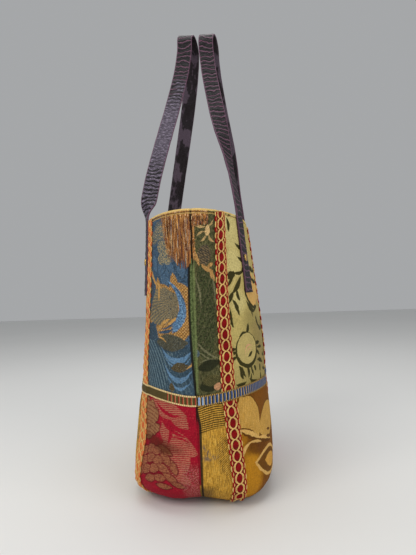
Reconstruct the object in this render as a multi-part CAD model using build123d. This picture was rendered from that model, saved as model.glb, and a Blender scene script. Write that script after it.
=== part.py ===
from build123d import *
import math
import os

# A patchwork tote bag that stands on a table with its two straps held up.
# Millimetres. X runs along the width, the front faces -Y, and Z is up.
# The origin is the middle of the footprint, on the table.

# Whole bag
RIM_HEIGHT = 320.0
RIM_WIDTH = 284.0
RIM_DEPTH = 131.0
BELLY_HEIGHT = 45.0
BELLY_WIDTH = 262.0
BELLY_DEPTH = 171.0
RIM_SQUARENESS = 2.0      # exponent of the outline: 2 is an ellipse, more is squarer
FRONT_SQUARENESS = 3.1     # the same exponent down at the table
BACK_SQUARENESS = 3.2
FRONT_SWELL = 4.5         # the front bellies out this much more than the middle, the back less
RIM_DRIFT = 14.0          # the +X half of the rim leans this far to the front

# How the walls turn under at the bottom: distance inwards, then height
FRONT_TURN_IN = 24.0
FRONT_TURN_UP = 26.0
BACK_TURN_IN = 30.0
BACK_TURN_UP = 24.0
END_TURN_IN = 56.0
END_TURN_UP = 46.0
END_TURN_REACH = 48.0     # how far along the wall the side seams' own turn carries
BACK_CORNER_IN = 18.0     # how much further the corners of the back are drawn in
BACK_CORNER_UP = 10.0
BACK_CORNER_FROM_SEAM = 56.0
BACK_CORNER_REACH = 36.0

# Cloth layers
PATCH_THICKNESS = 1.6
LINING_THICKNESS = 0.8
LINING_CLEARANCE = 0.5
TRIM_CLEARANCE = 0.3
SEAM_GAP = 0.5            # between two patches that meet under a trim
BASE_THICKNESS = 1.6

# Patchwork: the ribbon line parts two rows, and braids cover the upright seams
RIBBON_HEIGHT = 119.0     # at the side seams
RIBBON_RISE = 7.0         # from there to the middle of a wall
RIBBON_RISE_REACH = 35.0
RIBBON_WIDTH = 11.0
RIBBON_THICKNESS = 0.8
RIBBON_NIP = 1.5          # how far the ribbon's stitching draws the wall in
RIBBON_NIP_REACH = 0.1    # in levels: one level is the height of a row of patches
BRAID_WIDTH = 14.0
BRAID_THICKNESS = 1.3
BRAID_MARGIN = 5.0        # the ribbon's slope where it climbs over a braid
BRAID_FOOT = 0.4          # share of the bottom turn that a braid leaves free
SIDE_STRIP_AT_RIM = 35.0  # front side strips, from the side seam to the braid
SIDE_STRIP_AT_BASE = 46.0
SIDE_STRIP_BOW = 7.0      # how much narrower they are halfway up
BACK_PATCH_AT_RIM = 74.0
BACK_PATCH_AT_BASE = 85.0
BACK_PATCH_BOW = 2.0

# Soft folds of the walls: depth and how many waves cross one wall
WAVE_DEPTH = 0.9
WAVES_ACROSS = 5.0
WAVE_LEAN = 1.6
DENT_DEPTH = 4.0          # a hand-sized dent low on the back, by the side seam
DENT_FROM_SEAM = 62.0
DENT_HEIGHT = 74.0
DENT_RADIUS = 26.0

# Straps
STRAP_WIDTH = 20.0
STRAP_THICKNESS = 2.2
STRAP_TOP = 591.0
STRAP_LOOP_RADIUS = 17.0
FRONT_STRAP_FROM_SEAM = 80.0
BACK_STRAP_FROM_SEAM = 96.0
TAB_LENGTH = 89.0
BACK_LOOP_Y = 6.0
FRONT_LOOP_Y = -23.0
LOOP_SKEW = 4.0           # half the change in Y from one leg of a loop to the other
LEG_EASE = 60.0           # how far a leg keeps its direction at either end
BACK_TWIST_START = 1.0    # height above the rim where a back leg starts to turn side-on
BACK_TWIST_LENGTH = 32.0
FRONT_TWIST_START = 45.0
FRONT_TWIST_LENGTH = 120.0

# Rivets
RIVET_ABOVE_TAB_END = 40.0
RIVET_HEAD_RADIUS = 4.0
RIVET_HEAD_HEIGHT = 1.4
RIVET_HEAD_ROUND = 0.9
RIVET_SHANK_RADIUS = 1.4
RIVET_CLEARANCE = 0.15
BURR_RADIUS = 3.2
BURR_THICKNESS = 0.8

# How finely the curved walls are laid out
WALL_STEP = 9.0
STRAP_STEP = 9.0
OUTLINE_STEPS = 240
POINTS_IN_A_CURVE = 18

FRONT = -1
BACK = 1
SIDE_NAMES = {FRONT: "front", BACK: "back"}


def between(start, end, share):
    return start + (end - start) * share


def eased(share):
    share = min(max(share, 0.0), 1.0)
    return share * share * (3 - 2 * share)


# The outline of the bag at one height

def half_width(z):
    rise = (z - BELLY_HEIGHT) / (RIM_HEIGHT - BELLY_HEIGHT)
    return between(BELLY_WIDTH, RIM_WIDTH, rise) / 2


def half_depth(side, z):
    rise = max(z - BELLY_HEIGHT, 0) / (RIM_HEIGHT - BELLY_HEIGHT)
    plain = between(BELLY_DEPTH, RIM_DEPTH, rise) / 2
    return plain - side * FRONT_SWELL * math.sin(math.pi * z / RIM_HEIGHT)


def outline_point(side, z, turn, inset):
    """The wall at one height, turn radians round from the -X side seam; pi is the +X one."""
    base = FRONT_SQUARENESS if side == FRONT else BACK_SQUARENESS
    power = between(RIM_SQUARENESS, base, (1 - z / RIM_HEIGHT) ** 1.5)
    along, across = math.cos(turn), abs(math.sin(turn))
    width, depth = half_width(z) - inset, half_depth(side, z) - inset
    reach = ((abs(along) / width) ** power + (across / depth) ** power) ** (-1 / power)
    x, y = -reach * along, side * reach * across
    drift = RIM_DRIFT * eased((x + 20) / 120) * (z / RIM_HEIGHT) ** 1.5
    return x, y - drift


outline_tables = {}


def outline_table(side, z):
    """Lengths along the wall from the -X side seam, at even steps of turn."""
    key = (side, round(z, 2))
    if key not in outline_tables:
        lengths = [0.0]
        last = outline_point(side, z, 0, 0)
        for step in range(1, OUTLINE_STEPS + 1):
            here = outline_point(side, z, math.pi * step / OUTLINE_STEPS, 0)
            lengths.append(lengths[-1] + math.dist(last, here))
            last = here
        outline_tables[key] = lengths
    return outline_tables[key]


def wall_length(side, z):
    return outline_table(side, z)[-1]


def turn_at(side, z, share):
    """The turn where the given share of the wall's length lies behind."""
    lengths = outline_table(side, z)
    target = share * lengths[-1]
    low, high = 0, OUTLINE_STEPS
    while high - low > 1:
        middle = (low + high) // 2
        if lengths[middle] <= target:
            low = middle
        else:
            high = middle
    part = (target - lengths[low]) / (lengths[high] - lengths[low])
    return math.pi * (low + part) / OUTLINE_STEPS


# The skin of the bag: share runs 0 to 1 between the side seams, and level runs
# 0 to 1 from the base seam to the ribbon and 1 to 2 from the ribbon to the rim

def from_seam(side, share):
    return min(share, 1 - share) * wall_length(side, BELLY_HEIGHT)


def ribbon_height(side, share):
    """The middle of the ribbon, which rises from the side seams to the middle of a wall."""
    return RIBBON_HEIGHT + RIBBON_RISE * (1 - math.exp(-(from_seam(side, share) / RIBBON_RISE_REACH) ** 2))


def bottom_turn(side, share):
    """How far in and up the wall turns under; the corners of the back are drawn in further."""
    nearest = from_seam(side, share)
    reach = math.exp(-(nearest / END_TURN_REACH) ** 2)
    if side == FRONT:
        return between(FRONT_TURN_IN, END_TURN_IN, reach), between(FRONT_TURN_UP, END_TURN_UP, reach)
    corner = math.exp(-((nearest - BACK_CORNER_FROM_SEAM) / BACK_CORNER_REACH) ** 2) * (1 - reach)
    return (between(BACK_TURN_IN, END_TURN_IN, reach) + BACK_CORNER_IN * corner,
            between(BACK_TURN_UP, END_TURN_UP, reach) + BACK_CORNER_UP * corner)


def turn_arc(side, share):
    turn_in, turn_up = bottom_turn(side, share)
    return math.pi / 2 * math.sqrt((turn_in ** 2 + turn_up ** 2) / 2)


def bare_point(side, share, level):
    inset = 0.0
    if level > 1:
        z = between(ribbon_height(side, share), RIM_HEIGHT, level - 1)
    else:
        turn_in, turn_up = bottom_turn(side, share)
        arc = turn_arc(side, share)
        climbed = level * (arc + ribbon_height(side, share) - turn_up)
        angle = min(climbed / arc, 1) * math.pi / 2
        z = turn_up * (1 - math.cos(angle)) + max(climbed - arc, 0)
        inset = turn_in * (1 - math.sin(angle))
    x, y = outline_point(side, z, turn_at(side, z, share), inset)
    return Vector(x, y, z)


def level_at(side, share, z):
    """The level of a height at or above the ribbon."""
    ribbon = ribbon_height(side, share)
    return 1 + (z - ribbon) / (RIM_HEIGHT - ribbon)


def fold(side, share, level):
    """How far the soft cloth stands out from the bare shape."""
    ends = math.sin(math.pi * share)
    wave = math.sin(2 * math.pi * (WAVES_ACROSS * share + WAVE_LEAN * level / 2) + side)
    out = WAVE_DEPTH * wave * ends * math.sin(math.pi * level / 2) ** 2
    out -= RIBBON_NIP * math.exp(-((level - 1) / RIBBON_NIP_REACH) ** 2)
    if side == BACK and level < 1.5:
        away = DENT_FROM_SEAM - share * wall_length(side, DENT_HEIGHT)
        drop = DENT_HEIGHT - bare_point(side, share, level).Z
        near = (away ** 2 + drop ** 2) / DENT_RADIUS ** 2
        out -= DENT_DEPTH * math.exp(-near) * min(level * 3, 1)
    return out


def outward(side, share, level):
    step = 0.004
    before, after = max(share - step, 0), min(share + step, 1)
    below, above = max(level - step, 0), min(level + step, 2)
    along = bare_point(side, after, level) - bare_point(side, before, level)
    up = bare_point(side, share, above) - bare_point(side, share, below)
    return (along.cross(up) * -side).normalized()


def skin_point(side, share, level, out):
    push = out + fold(side, share, level)
    return bare_point(side, share, level) + outward(side, share, level) * push


# Thin solids between an outer and an inner skin, each given as rows of points

def spline_through(points):
    last = len(points) - 1
    return Edge.make_spline(points, parameters=[i / last for i in range(last + 1)])


def strips(rows):
    """Ruled faces from each row's curve to the next."""
    curves = [spline_through(row) for row in rows]
    return [Face.make_surface_from_curves(low, high) for low, high in zip(curves, curves[1:])]


def thin_solid(outer, inner):
    faces = []
    for start in range(0, len(outer[0]) - 1, POINTS_IN_A_CURVE):
        end = start + POINTS_IN_A_CURVE + 1
        out_part = [row[start:end] for row in outer]
        in_part = [row[start:end] for row in inner]
        faces += strips(out_part) + strips(in_part)
        faces += strips([out_part[0], in_part[0]]) + strips([out_part[-1], in_part[-1]])
    for end in (0, -1):
        edges = [Edge.make_line(out_row[end], in_row[end]) for out_row, in_row in zip(outer, inner)]
        faces += [Face.make_surface_from_curves(low, high) for low, high in zip(edges, edges[1:])]
    solid = Solid(Shell(faces))
    return solid if solid.volume > 0 else Solid(solid.wrapped.Reversed())


def steps_for(length):
    return max(4, math.ceil(length / WALL_STEP))


def even_levels(low, high):
    """Levels from low to high that lie evenly up the wall, in both rows of patches."""
    lower_row = turn_arc(FRONT, 0.5) + RIBBON_HEIGHT - FRONT_TURN_UP
    upper_row = RIM_HEIGHT - RIBBON_HEIGHT
    start = low * lower_row if low < 1 else lower_row + (low - 1) * upper_row
    end = high * lower_row if high < 1 else lower_row + (high - 1) * upper_row
    count = steps_for(end - start)
    places = [between(start, end, j / count) for j in range(count + 1)]
    return [place / lower_row if place < lower_row else 1 + (place - lower_row) / upper_row
            for place in places]


def sheet(side, left, right, low, high, out, thickness):
    """Cloth on the skin between two lines of share, left and right, each a function of level."""
    across = steps_for((right(1) - left(1)) * wall_length(side, RIBBON_HEIGHT))
    grids = []
    for layer in (out, out - thickness):
        rows = []
        for level in even_levels(low, high):
            shares = [between(left(level), right(level), i / across) for i in range(across + 1)]
            rows.append([skin_point(side, share, level, layer) for share in shares])
        grids.append(rows)
    return thin_solid(*grids)


# Where the seams of the patchwork run

def seam_share(side, at_rim, at_base, bow):
    """A seam at so many millimetres from the -X side seam, as share against level."""
    rim = at_rim / wall_length(side, RIM_HEIGHT)
    base = at_base / wall_length(side, BELLY_HEIGHT)
    bowed = bow / wall_length(side, RIBBON_HEIGHT)
    return lambda level: between(base, rim, level / 2) - bowed * math.sin(math.pi * (level / 2) ** 1.5)


def mirrored(seam):
    return lambda level: 1 - seam(level)


def moved(seam, side, distance):
    return lambda level: seam(level) + distance / wall_length(side, RIBBON_HEIGHT)


def patch_seams(side):
    if side == FRONT:
        first = seam_share(side, SIDE_STRIP_AT_RIM, SIDE_STRIP_AT_BASE, SIDE_STRIP_BOW)
        return [first, lambda level: 0.5, mirrored(first)]
    first = seam_share(side, BACK_PATCH_AT_RIM, BACK_PATCH_AT_BASE, BACK_PATCH_BOW)
    return [first, mirrored(first)]


def make_patches(side):
    """The cloth patches of one wall, in two rows."""
    edges = [lambda level: 0.0] + patch_seams(side) + [lambda level: 1.0]
    half_gap = SEAM_GAP / 2
    row_gap = half_gap / (RIM_HEIGHT - RIBBON_HEIGHT)
    rows = {"lower": (0.0, 1.0 - row_gap), "upper": (1.0 + row_gap, 2.0)}
    patches = {}
    for row, (low, high) in rows.items():
        for number, (left, right) in enumerate(zip(edges, edges[1:]), start=1):
            name = f"{SIDE_NAMES[side]}_{row}_patch_{number}"
            patches[name] = sheet(side, moved(left, side, half_gap), moved(right, side, -half_gap),
                                  low, high, 0.0, PATCH_THICKNESS)
    return patches


def make_braid(side, seam):
    half = BRAID_WIDTH / 2
    arc = turn_arc(side, seam(0))
    foot = BRAID_FOOT * arc / (arc + RIBBON_HEIGHT - bottom_turn(side, seam(0))[1])
    skins = []
    for layer in (TRIM_CLEARANCE + BRAID_THICKNESS, TRIM_CLEARANCE):
        rows = []
        for k in (-1, 0, 1):
            edge = moved(seam, side, half * k)
            rows.append([skin_point(side, edge(level), level, layer) for level in even_levels(foot, 2)])
        skins.append(rows)
    return thin_solid(*skins)


def make_ribbon(side):
    """The ribbon round one wall, which climbs over each braid."""
    half_level = RIBBON_WIDTH / 2 / (RIM_HEIGHT - RIBBON_HEIGHT)
    length = wall_length(side, RIBBON_HEIGHT)
    climb = BRAID_THICKNESS + TRIM_CLEARANCE

    def over_braids(share, level):
        lift = 0.0
        for seam in patch_seams(side):
            away = abs(share - seam(level)) * length
            lift = max(lift, climb * eased(1 - (away - BRAID_WIDTH / 2 - 1) / BRAID_MARGIN))
        return lift

    half_gap = SEAM_GAP / 2
    out = TRIM_CLEARANCE + RIBBON_THICKNESS
    pieces = round(length / 3)
    grids = []
    for layer in (out, TRIM_CLEARANCE):
        rows = []
        for level in (1 - half_level, 1, 1 + half_level):
            row = []
            for i in range(pieces + 1):
                share = between(half_gap / length, 1 - half_gap / length, i / pieces)
                row.append(skin_point(side, share, level, layer + over_braids(share, level)))
            rows.append(row)
        grids.append(rows)
    return thin_solid(*grids)


def make_lining(side):
    half_gap = SEAM_GAP / 2
    return sheet(side, moved(lambda level: 0.0, side, half_gap),
                 moved(lambda level: 1.0, side, -half_gap),
                 0.0, 2.0, -PATCH_THICKNESS - LINING_CLEARANCE, LINING_THICKNESS)


def base_outline(margin):
    """The closed curve where the walls meet the base, drawn in by a margin."""
    points = []
    for side in (FRONT, BACK):
        shares = [i / 40 for i in range(41)]
        if side == BACK:
            shares.reverse()
        for share in shares[:-1]:
            foot = bare_point(side, share, 0)
            inwards = outward(side, share, 0.5)
            shift = Vector(inwards.X, inwards.Y, 0).normalized() * margin
            points.append((foot.X - shift.X, foot.Y - shift.Y))
    return Spline(*points, periodic=True)


def make_base(margin, low, thickness):
    face = make_face(base_outline(margin))
    return Pos(0, 0, low) * extrude(face, thickness)


# Straps

def tab_row(side, share, z):
    """The middle of a strap where it lies on the wall, and the way across it."""
    level = level_at(side, share, z)
    half = STRAP_WIDTH / 2 / wall_length(side, z)
    left, middle, right = [skin_point(side, share + k * half, level, TRIM_CLEARANCE)
                           for k in (-1, 0, 1)]
    across = (right - left).normalized()
    out = outward(side, share, level)
    return middle + out * (STRAP_THICKNESS / 2), across


def leg_rows(side, share):
    """One leg from the end of its tab to the start of the loop."""
    steps = math.ceil(TAB_LENGTH / STRAP_STEP)
    rows = [tab_row(side, share, RIM_HEIGHT - TAB_LENGTH * (1 - i / steps)) for i in range(steps + 1)]
    foot, across = rows[-1]
    rising = (foot - rows[-2][0]).normalized()
    end = -1 if share < 0.5 else 1
    loop_y = BACK_LOOP_Y if side == BACK else FRONT_LOOP_Y
    top = Vector(end * STRAP_LOOP_RADIUS, loop_y - end * LOOP_SKEW, STRAP_TOP - STRAP_LOOP_RADIUS)
    low_pull, high_pull = foot + rising * LEG_EASE, top - Vector(0, 0, LEG_EASE)
    start = BACK_TWIST_START if side == BACK else FRONT_TWIST_START
    length = BACK_TWIST_LENGTH if side == BACK else FRONT_TWIST_LENGTH
    side_on = Vector(0, 1 if across.Y > 0 else -1, 0)
    count = math.ceil((top - foot).length / STRAP_STEP)
    for i in range(1, count + 1):
        t = i / count
        centre = (foot * (1 - t) ** 3 + low_pull * (3 * t * (1 - t) ** 2)
                  + high_pull * (3 * t * t * (1 - t)) + top * t ** 3)
        turned = eased((centre.Z - RIM_HEIGHT - start) / length)
        rows.append((centre, (across * (1 - turned) + side_on * turned).normalized()))
    return rows


def loop_rows(side):
    loop_y = BACK_LOOP_Y if side == BACK else FRONT_LOOP_Y
    count = math.ceil(math.pi * STRAP_LOOP_RADIUS / STRAP_STEP)
    rows = []
    for i in range(1, count):
        angle = math.pi * i / count
        centre = Vector(-STRAP_LOOP_RADIUS * math.cos(angle), loop_y + LOOP_SKEW * math.cos(angle),
                        STRAP_TOP - STRAP_LOOP_RADIUS * (1 - math.sin(angle)))
        rows.append((centre, Vector(0, 1, 0)))
    return rows


def strap_share(side):
    """Where the -X leg of a strap crosses the rim."""
    distance = FRONT_STRAP_FROM_SEAM if side == FRONT else BACK_STRAP_FROM_SEAM
    return distance / wall_length(side, RIM_HEIGHT)


def make_strap(side):
    share = strap_share(side)
    rows = leg_rows(side, share) + loop_rows(side) + leg_rows(side, 1 - share)[::-1]
    outer, inner = [], []
    last_across = rows[0][1]
    for i, (centre, across) in enumerate(rows):
        along = (rows[min(i + 1, len(rows) - 1)][0] - rows[max(i - 1, 0)][0]).normalized()
        across = (across - along * across.dot(along)).normalized()
        if across.dot(last_across) < 0:
            across = -across
        last_across = across
        out = across.cross(along) * side
        shift = out * (STRAP_THICKNESS / 2)
        places = [across * (STRAP_WIDTH / 2 * k) for k in (-1, -1 / 3, 1 / 3, 1)]
        outer.append([centre + shift + place for place in places])
        inner.append([centre - shift + place for place in places])
    return thin_solid(list(zip(*outer)), list(zip(*inner)))


# Rivets

def rivet_plane(side, share):
    level = level_at(side, share, RIM_HEIGHT - TAB_LENGTH + RIVET_ABOVE_TAB_END)
    seat = skin_point(side, share, level, TRIM_CLEARANCE)
    return Plane(origin=seat, z_dir=outward(side, share, level))


def rivet_reach():
    """How far the shank reaches inwards, past the patch and the lining."""
    return TRIM_CLEARANCE * 2 + PATCH_THICKNESS + LINING_CLEARANCE + LINING_THICKNESS


def make_rivet(plane):
    head = Pos(0, 0, STRAP_THICKNESS + RIVET_CLEARANCE) * Cylinder(
        RIVET_HEAD_RADIUS, RIVET_HEAD_HEIGHT, align=(Align.CENTER, Align.CENTER, Align.MIN))
    head = fillet(head.edges().group_by(Axis.Z)[-1], RIVET_HEAD_ROUND)
    reach = rivet_reach() + BURR_THICKNESS
    shank = Pos(0, 0, -reach) * Cylinder(
        RIVET_SHANK_RADIUS, reach + STRAP_THICKNESS + RIVET_HEAD_HEIGHT,
        align=(Align.CENTER, Align.CENTER, Align.MIN))
    burr = Pos(0, 0, -reach) * Cylinder(
        BURR_RADIUS, BURR_THICKNESS, align=(Align.CENTER, Align.CENTER, Align.MIN))
    return plane * (head + shank + burr)


def rivet_hole(plane):
    return plane * Cylinder(RIVET_SHANK_RADIUS + RIVET_CLEARANCE, 4 * rivet_reach())


def make_bag():
    parts = {}
    for side in (FRONT, BACK):
        name = SIDE_NAMES[side]
        parts.update(make_patches(side))
        parts[f"lining_{name}"] = make_lining(side)
        parts[f"ribbon_{name}"] = make_ribbon(side)
        for number, seam in enumerate(patch_seams(side), start=1):
            parts[f"braid_{name}_{number}"] = make_braid(side, seam)
        parts[f"strap_{name}"] = make_strap(side)
        share = strap_share(side)
        patches_under = (2, len(patch_seams(side)))
        for number, (place, under) in enumerate(zip((share, 1 - share), patches_under), start=1):
            plane = rivet_plane(side, place)
            parts[f"rivet_{name}_{number}"] = make_rivet(plane)
            for holed in (f"strap_{name}", f"lining_{name}", f"{name}_upper_patch_{under}"):
                parts[holed] = parts[holed] - rivet_hole(plane)
    parts["base_panel"] = make_base(SEAM_GAP, 0, BASE_THICKNESS)
    parts["lining_base"] = make_base(SEAM_GAP, BASE_THICKNESS + LINING_CLEARANCE, LINING_THICKNESS)
    return parts


os.makedirs("parts", exist_ok=True)
bag = make_bag()
bounds = [solid.bounding_box() for solid in bag.values()]
footprint_middle = (min(box.min.Y for box in bounds) + max(box.max.Y for box in bounds)) / 2
for node, solid in bag.items():
    export_step(solid.moved(Location((0, -footprint_middle, 0))), f"parts/{node}.step")
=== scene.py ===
import math

import bpy
import numpy as np
from mathutils import Matrix, Vector


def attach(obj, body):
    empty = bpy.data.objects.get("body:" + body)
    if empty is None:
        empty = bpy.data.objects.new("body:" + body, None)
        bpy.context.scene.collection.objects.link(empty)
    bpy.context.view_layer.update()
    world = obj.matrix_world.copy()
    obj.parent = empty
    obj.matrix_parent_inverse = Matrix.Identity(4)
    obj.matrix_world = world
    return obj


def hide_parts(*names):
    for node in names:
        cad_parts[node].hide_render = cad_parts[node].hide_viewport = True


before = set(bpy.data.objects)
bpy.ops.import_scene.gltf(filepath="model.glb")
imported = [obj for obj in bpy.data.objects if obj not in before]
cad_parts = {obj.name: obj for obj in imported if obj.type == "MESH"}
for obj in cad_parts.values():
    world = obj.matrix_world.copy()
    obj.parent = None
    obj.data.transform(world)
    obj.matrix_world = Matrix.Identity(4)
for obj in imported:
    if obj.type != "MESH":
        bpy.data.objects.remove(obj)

bl_info = {
    "name": "Patchwork Tote Bag",
    "version": (1, 0, 0),
    "blender": (4, 5, 0),
    "location": "View3D > Sidebar > Tote Bag",
    "description": "Builds a tapestry tote bag with leather straps on its CAD frame",
    "category": "Object",
}

# The form of the bag in millimetres, as the CAD part has it
RIM_HEIGHT, RIM_WIDTH, RIM_DEPTH = 320.0, 284.0, 131.0
BELLY_HEIGHT, BELLY_WIDTH, BELLY_DEPTH = 45.0, 262.0, 171.0
RIM_SQUARENESS, FRONT_SQUARENESS, BACK_SQUARENESS = 2.0, 3.1, 3.2
FRONT_SWELL, RIM_DRIFT = 4.5, 14.0
FRONT_TURN, BACK_TURN, END_TURN, END_TURN_REACH = (24.0, 26.0), (30.0, 24.0), (56.0, 46.0), 48.0
BACK_CORNER, BACK_CORNER_FROM_SEAM, BACK_CORNER_REACH = (18.0, 10.0), 56.0, 36.0
PATCH_THICKNESS, LINING_THICKNESS, LINING_CLEARANCE = 1.6, 0.8, 0.5
TRIM_CLEARANCE, SEAM_GAP, BASE_THICKNESS = 0.3, 0.5, 1.6
RIBBON_HEIGHT, RIBBON_RISE, RIBBON_RISE_REACH = 119.0, 7.0, 35.0
RIBBON_WIDTH, RIBBON_THICKNESS, RIBBON_NIP, RIBBON_NIP_REACH = 11.0, 0.8, 1.5, 0.1
BRAID_WIDTH, BRAID_THICKNESS, BRAID_MARGIN, BRAID_FOOT = 14.0, 1.3, 5.0, 0.4
SIDE_STRIP_AT_RIM, SIDE_STRIP_AT_BASE, SIDE_STRIP_BOW = 35.0, 46.0, 7.0
BACK_PATCH_AT_RIM, BACK_PATCH_AT_BASE, BACK_PATCH_BOW = 74.0, 85.0, 2.0
WAVE_DEPTH, WAVES_ACROSS, WAVE_LEAN = 0.9, 5.0, 1.6
DENT_DEPTH, DENT_FROM_SEAM, DENT_HEIGHT, DENT_RADIUS = 4.0, 62.0, 74.0, 26.0
STRAP_WIDTH, STRAP_THICKNESS, STRAP_TOP, STRAP_LOOP_RADIUS = 20.0, 2.2, 591.0, 17.0
FRONT_STRAP_FROM_SEAM, BACK_STRAP_FROM_SEAM, TAB_LENGTH = 80.0, 96.0, 89.0
BACK_LOOP_Y, FRONT_LOOP_Y, LOOP_SKEW, LEG_EASE = 6.0, -23.0, 4.0, 60.0
BACK_TWIST, FRONT_TWIST = (1.0, 32.0), (45.0, 120.0)
RIVET_ABOVE_TAB_END, RIVET_CLEARANCE = 40.0, 0.15
RIVET_HEAD_RADIUS, RIVET_HEAD_HEIGHT, RIVET_HEAD_ROUND = 4.0, 1.4, 0.9
RIVET_SHANK_RADIUS, BURR_RADIUS, BURR_THICKNESS = 1.4, 3.2, 0.8
FOOTPRINT_SHIFT = 2.261
MM = 0.001
RISE_POWER, DRIFT_FROM, DRIFT_REACH = 1.5, -20.0, 120.0
WALL_ROWS, WALL_COLUMNS, LATTICE = 160, 400, 97
MIDDLE_SHARE = 0.4

# The form of what only the dressed bag has, in millimetres
WRINKLES = ((0.5, 31, 44, 0), (0.32, 13, 19, 2), (0.14, 5, 8, 4))
PUCKER_PITCH, PUCKER_REACH = 9.5, 6.0
PATCH_EDGE_SINK, EDGE_SINK_REACH = 0.7, 2.2
RIM_ROLL, RIM_SEAM = (0.35, 1.2, 1.3), (0.4, 4.0, 0.8)
TAPE_MARGIN, TAPE_THICKNESS = 0.7, 0.5
LOOP_REACHES, WAVE_PLACE, EDGE_PLACE, WAVE_SWING, EDGE_SWING = (3.75, 4.95), 6.3, 6.75, 0.7, 0.75
OVAL_LANES, OVAL_HALF_WIDTH, OVAL_HALF_LENGTH = (-2.6, -1.3, 0.0, 1.3, 2.6), 3.6, 3.5
STITCH_GAP, STITCH_DROP, STITCH_RADIUS = 0.9, 4.0, 0.24
THREAD_POINTS, THREAD_SIDES = 14, 4
FRONT_STRAP_RUN = 1000.0  # where the front strap's pattern starts, past the back strap's
FRONT, BACK = -1, 1
NAMES = {FRONT: "front", BACK: "back"}


# Settings

class ClothSettings(bpy.types.PropertyGroup):
    step: bpy.props.FloatProperty(
        name="Mesh Step", description="Spacing of the cloth's mesh", default=0.0018, min=0.0008,
        unit="LENGTH")
    wrinkle: bpy.props.FloatProperty(
        name="Wrinkles", description="Depth of the soft wrinkles", default=0.0009, unit="LENGTH")
    pucker: bpy.props.FloatProperty(
        name="Pucker", description="Depth of the ripples beside a braid", default=0.0003,
        unit="LENGTH")
    threads: bpy.props.IntProperty(
        name="Frayed Threads", description="Loose warp threads at the worn side seam", default=330)


class TrimSettings(bpy.types.PropertyGroup):
    pitch: bpy.props.FloatProperty(
        name="Loop Pitch", description="Distance from one loop of the braid to the next",
        default=0.0117, unit="LENGTH")
    cord: bpy.props.FloatProperty(
        name="Cord Radius", description="Radius of the braid's loop cords", default=0.00055,
        unit="LENGTH")
    stitch: bpy.props.FloatProperty(
        name="Stitch Length", description="Length of a stitch of the rim's seam", default=0.0024,
        unit="LENGTH")


class StageSettings(bpy.types.PropertyGroup):
    eye: bpy.props.FloatVectorProperty(
        name="Camera Place", description="Where the camera stands", size=3,
        default=(-0.572, -0.02904, 0.2306), subtype="TRANSLATION")
    turn: bpy.props.FloatVectorProperty(
        name="Camera Turn", description="Yaw, pitch and roll of the camera", size=3,
        default=(math.radians(-2.0), math.radians(2.27), math.radians(-1.83)), subtype="EULER")
    lens: bpy.props.FloatProperty(
        name="Lens", description="Focal length on a 36 mm sensor", default=27.05,
        unit="CAMERA")
    key: bpy.props.FloatProperty(
        name="Key Light", description="Power of the main light", default=13.0, subtype="POWER")
    sky: bpy.props.FloatProperty(
        name="Sky", description="Strength of the even light from all round", default=0.42,
        subtype="FACTOR")


# The surface of the bag

def between(start, end, share):
    return start + (end - start) * share


def eased(share):
    share = np.clip(share, 0.0, 1.0)
    return share * share * (3 - 2 * share)


def bell(distance, reach):
    """1 at no distance, and near 0 past twice the reach."""
    return np.exp(-(distance / reach) ** 2)


def ruffled(x, y, seed, start=(40, 40)):
    """Smooth random heights from -1 to 1, with bumps one unit apart."""
    x, y = x + start[0], y + start[1]
    lattice = np.random.default_rng(seed).uniform(-1, 1, (LATTICE, LATTICE))
    i, j = np.floor(x).astype(int), np.floor(y).astype(int)
    a, b = eased(x - i), eased(y - j)
    i, j, k, m = i % LATTICE, j % LATTICE, (i + 1) % LATTICE, (j + 1) % LATTICE
    return between(between(lattice[i, j], lattice[k, j], a),
                   between(lattice[i, m], lattice[k, m], a), b)


def unit(vectors):
    return vectors / np.linalg.norm(vectors, axis=-1, keepdims=True)


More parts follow.
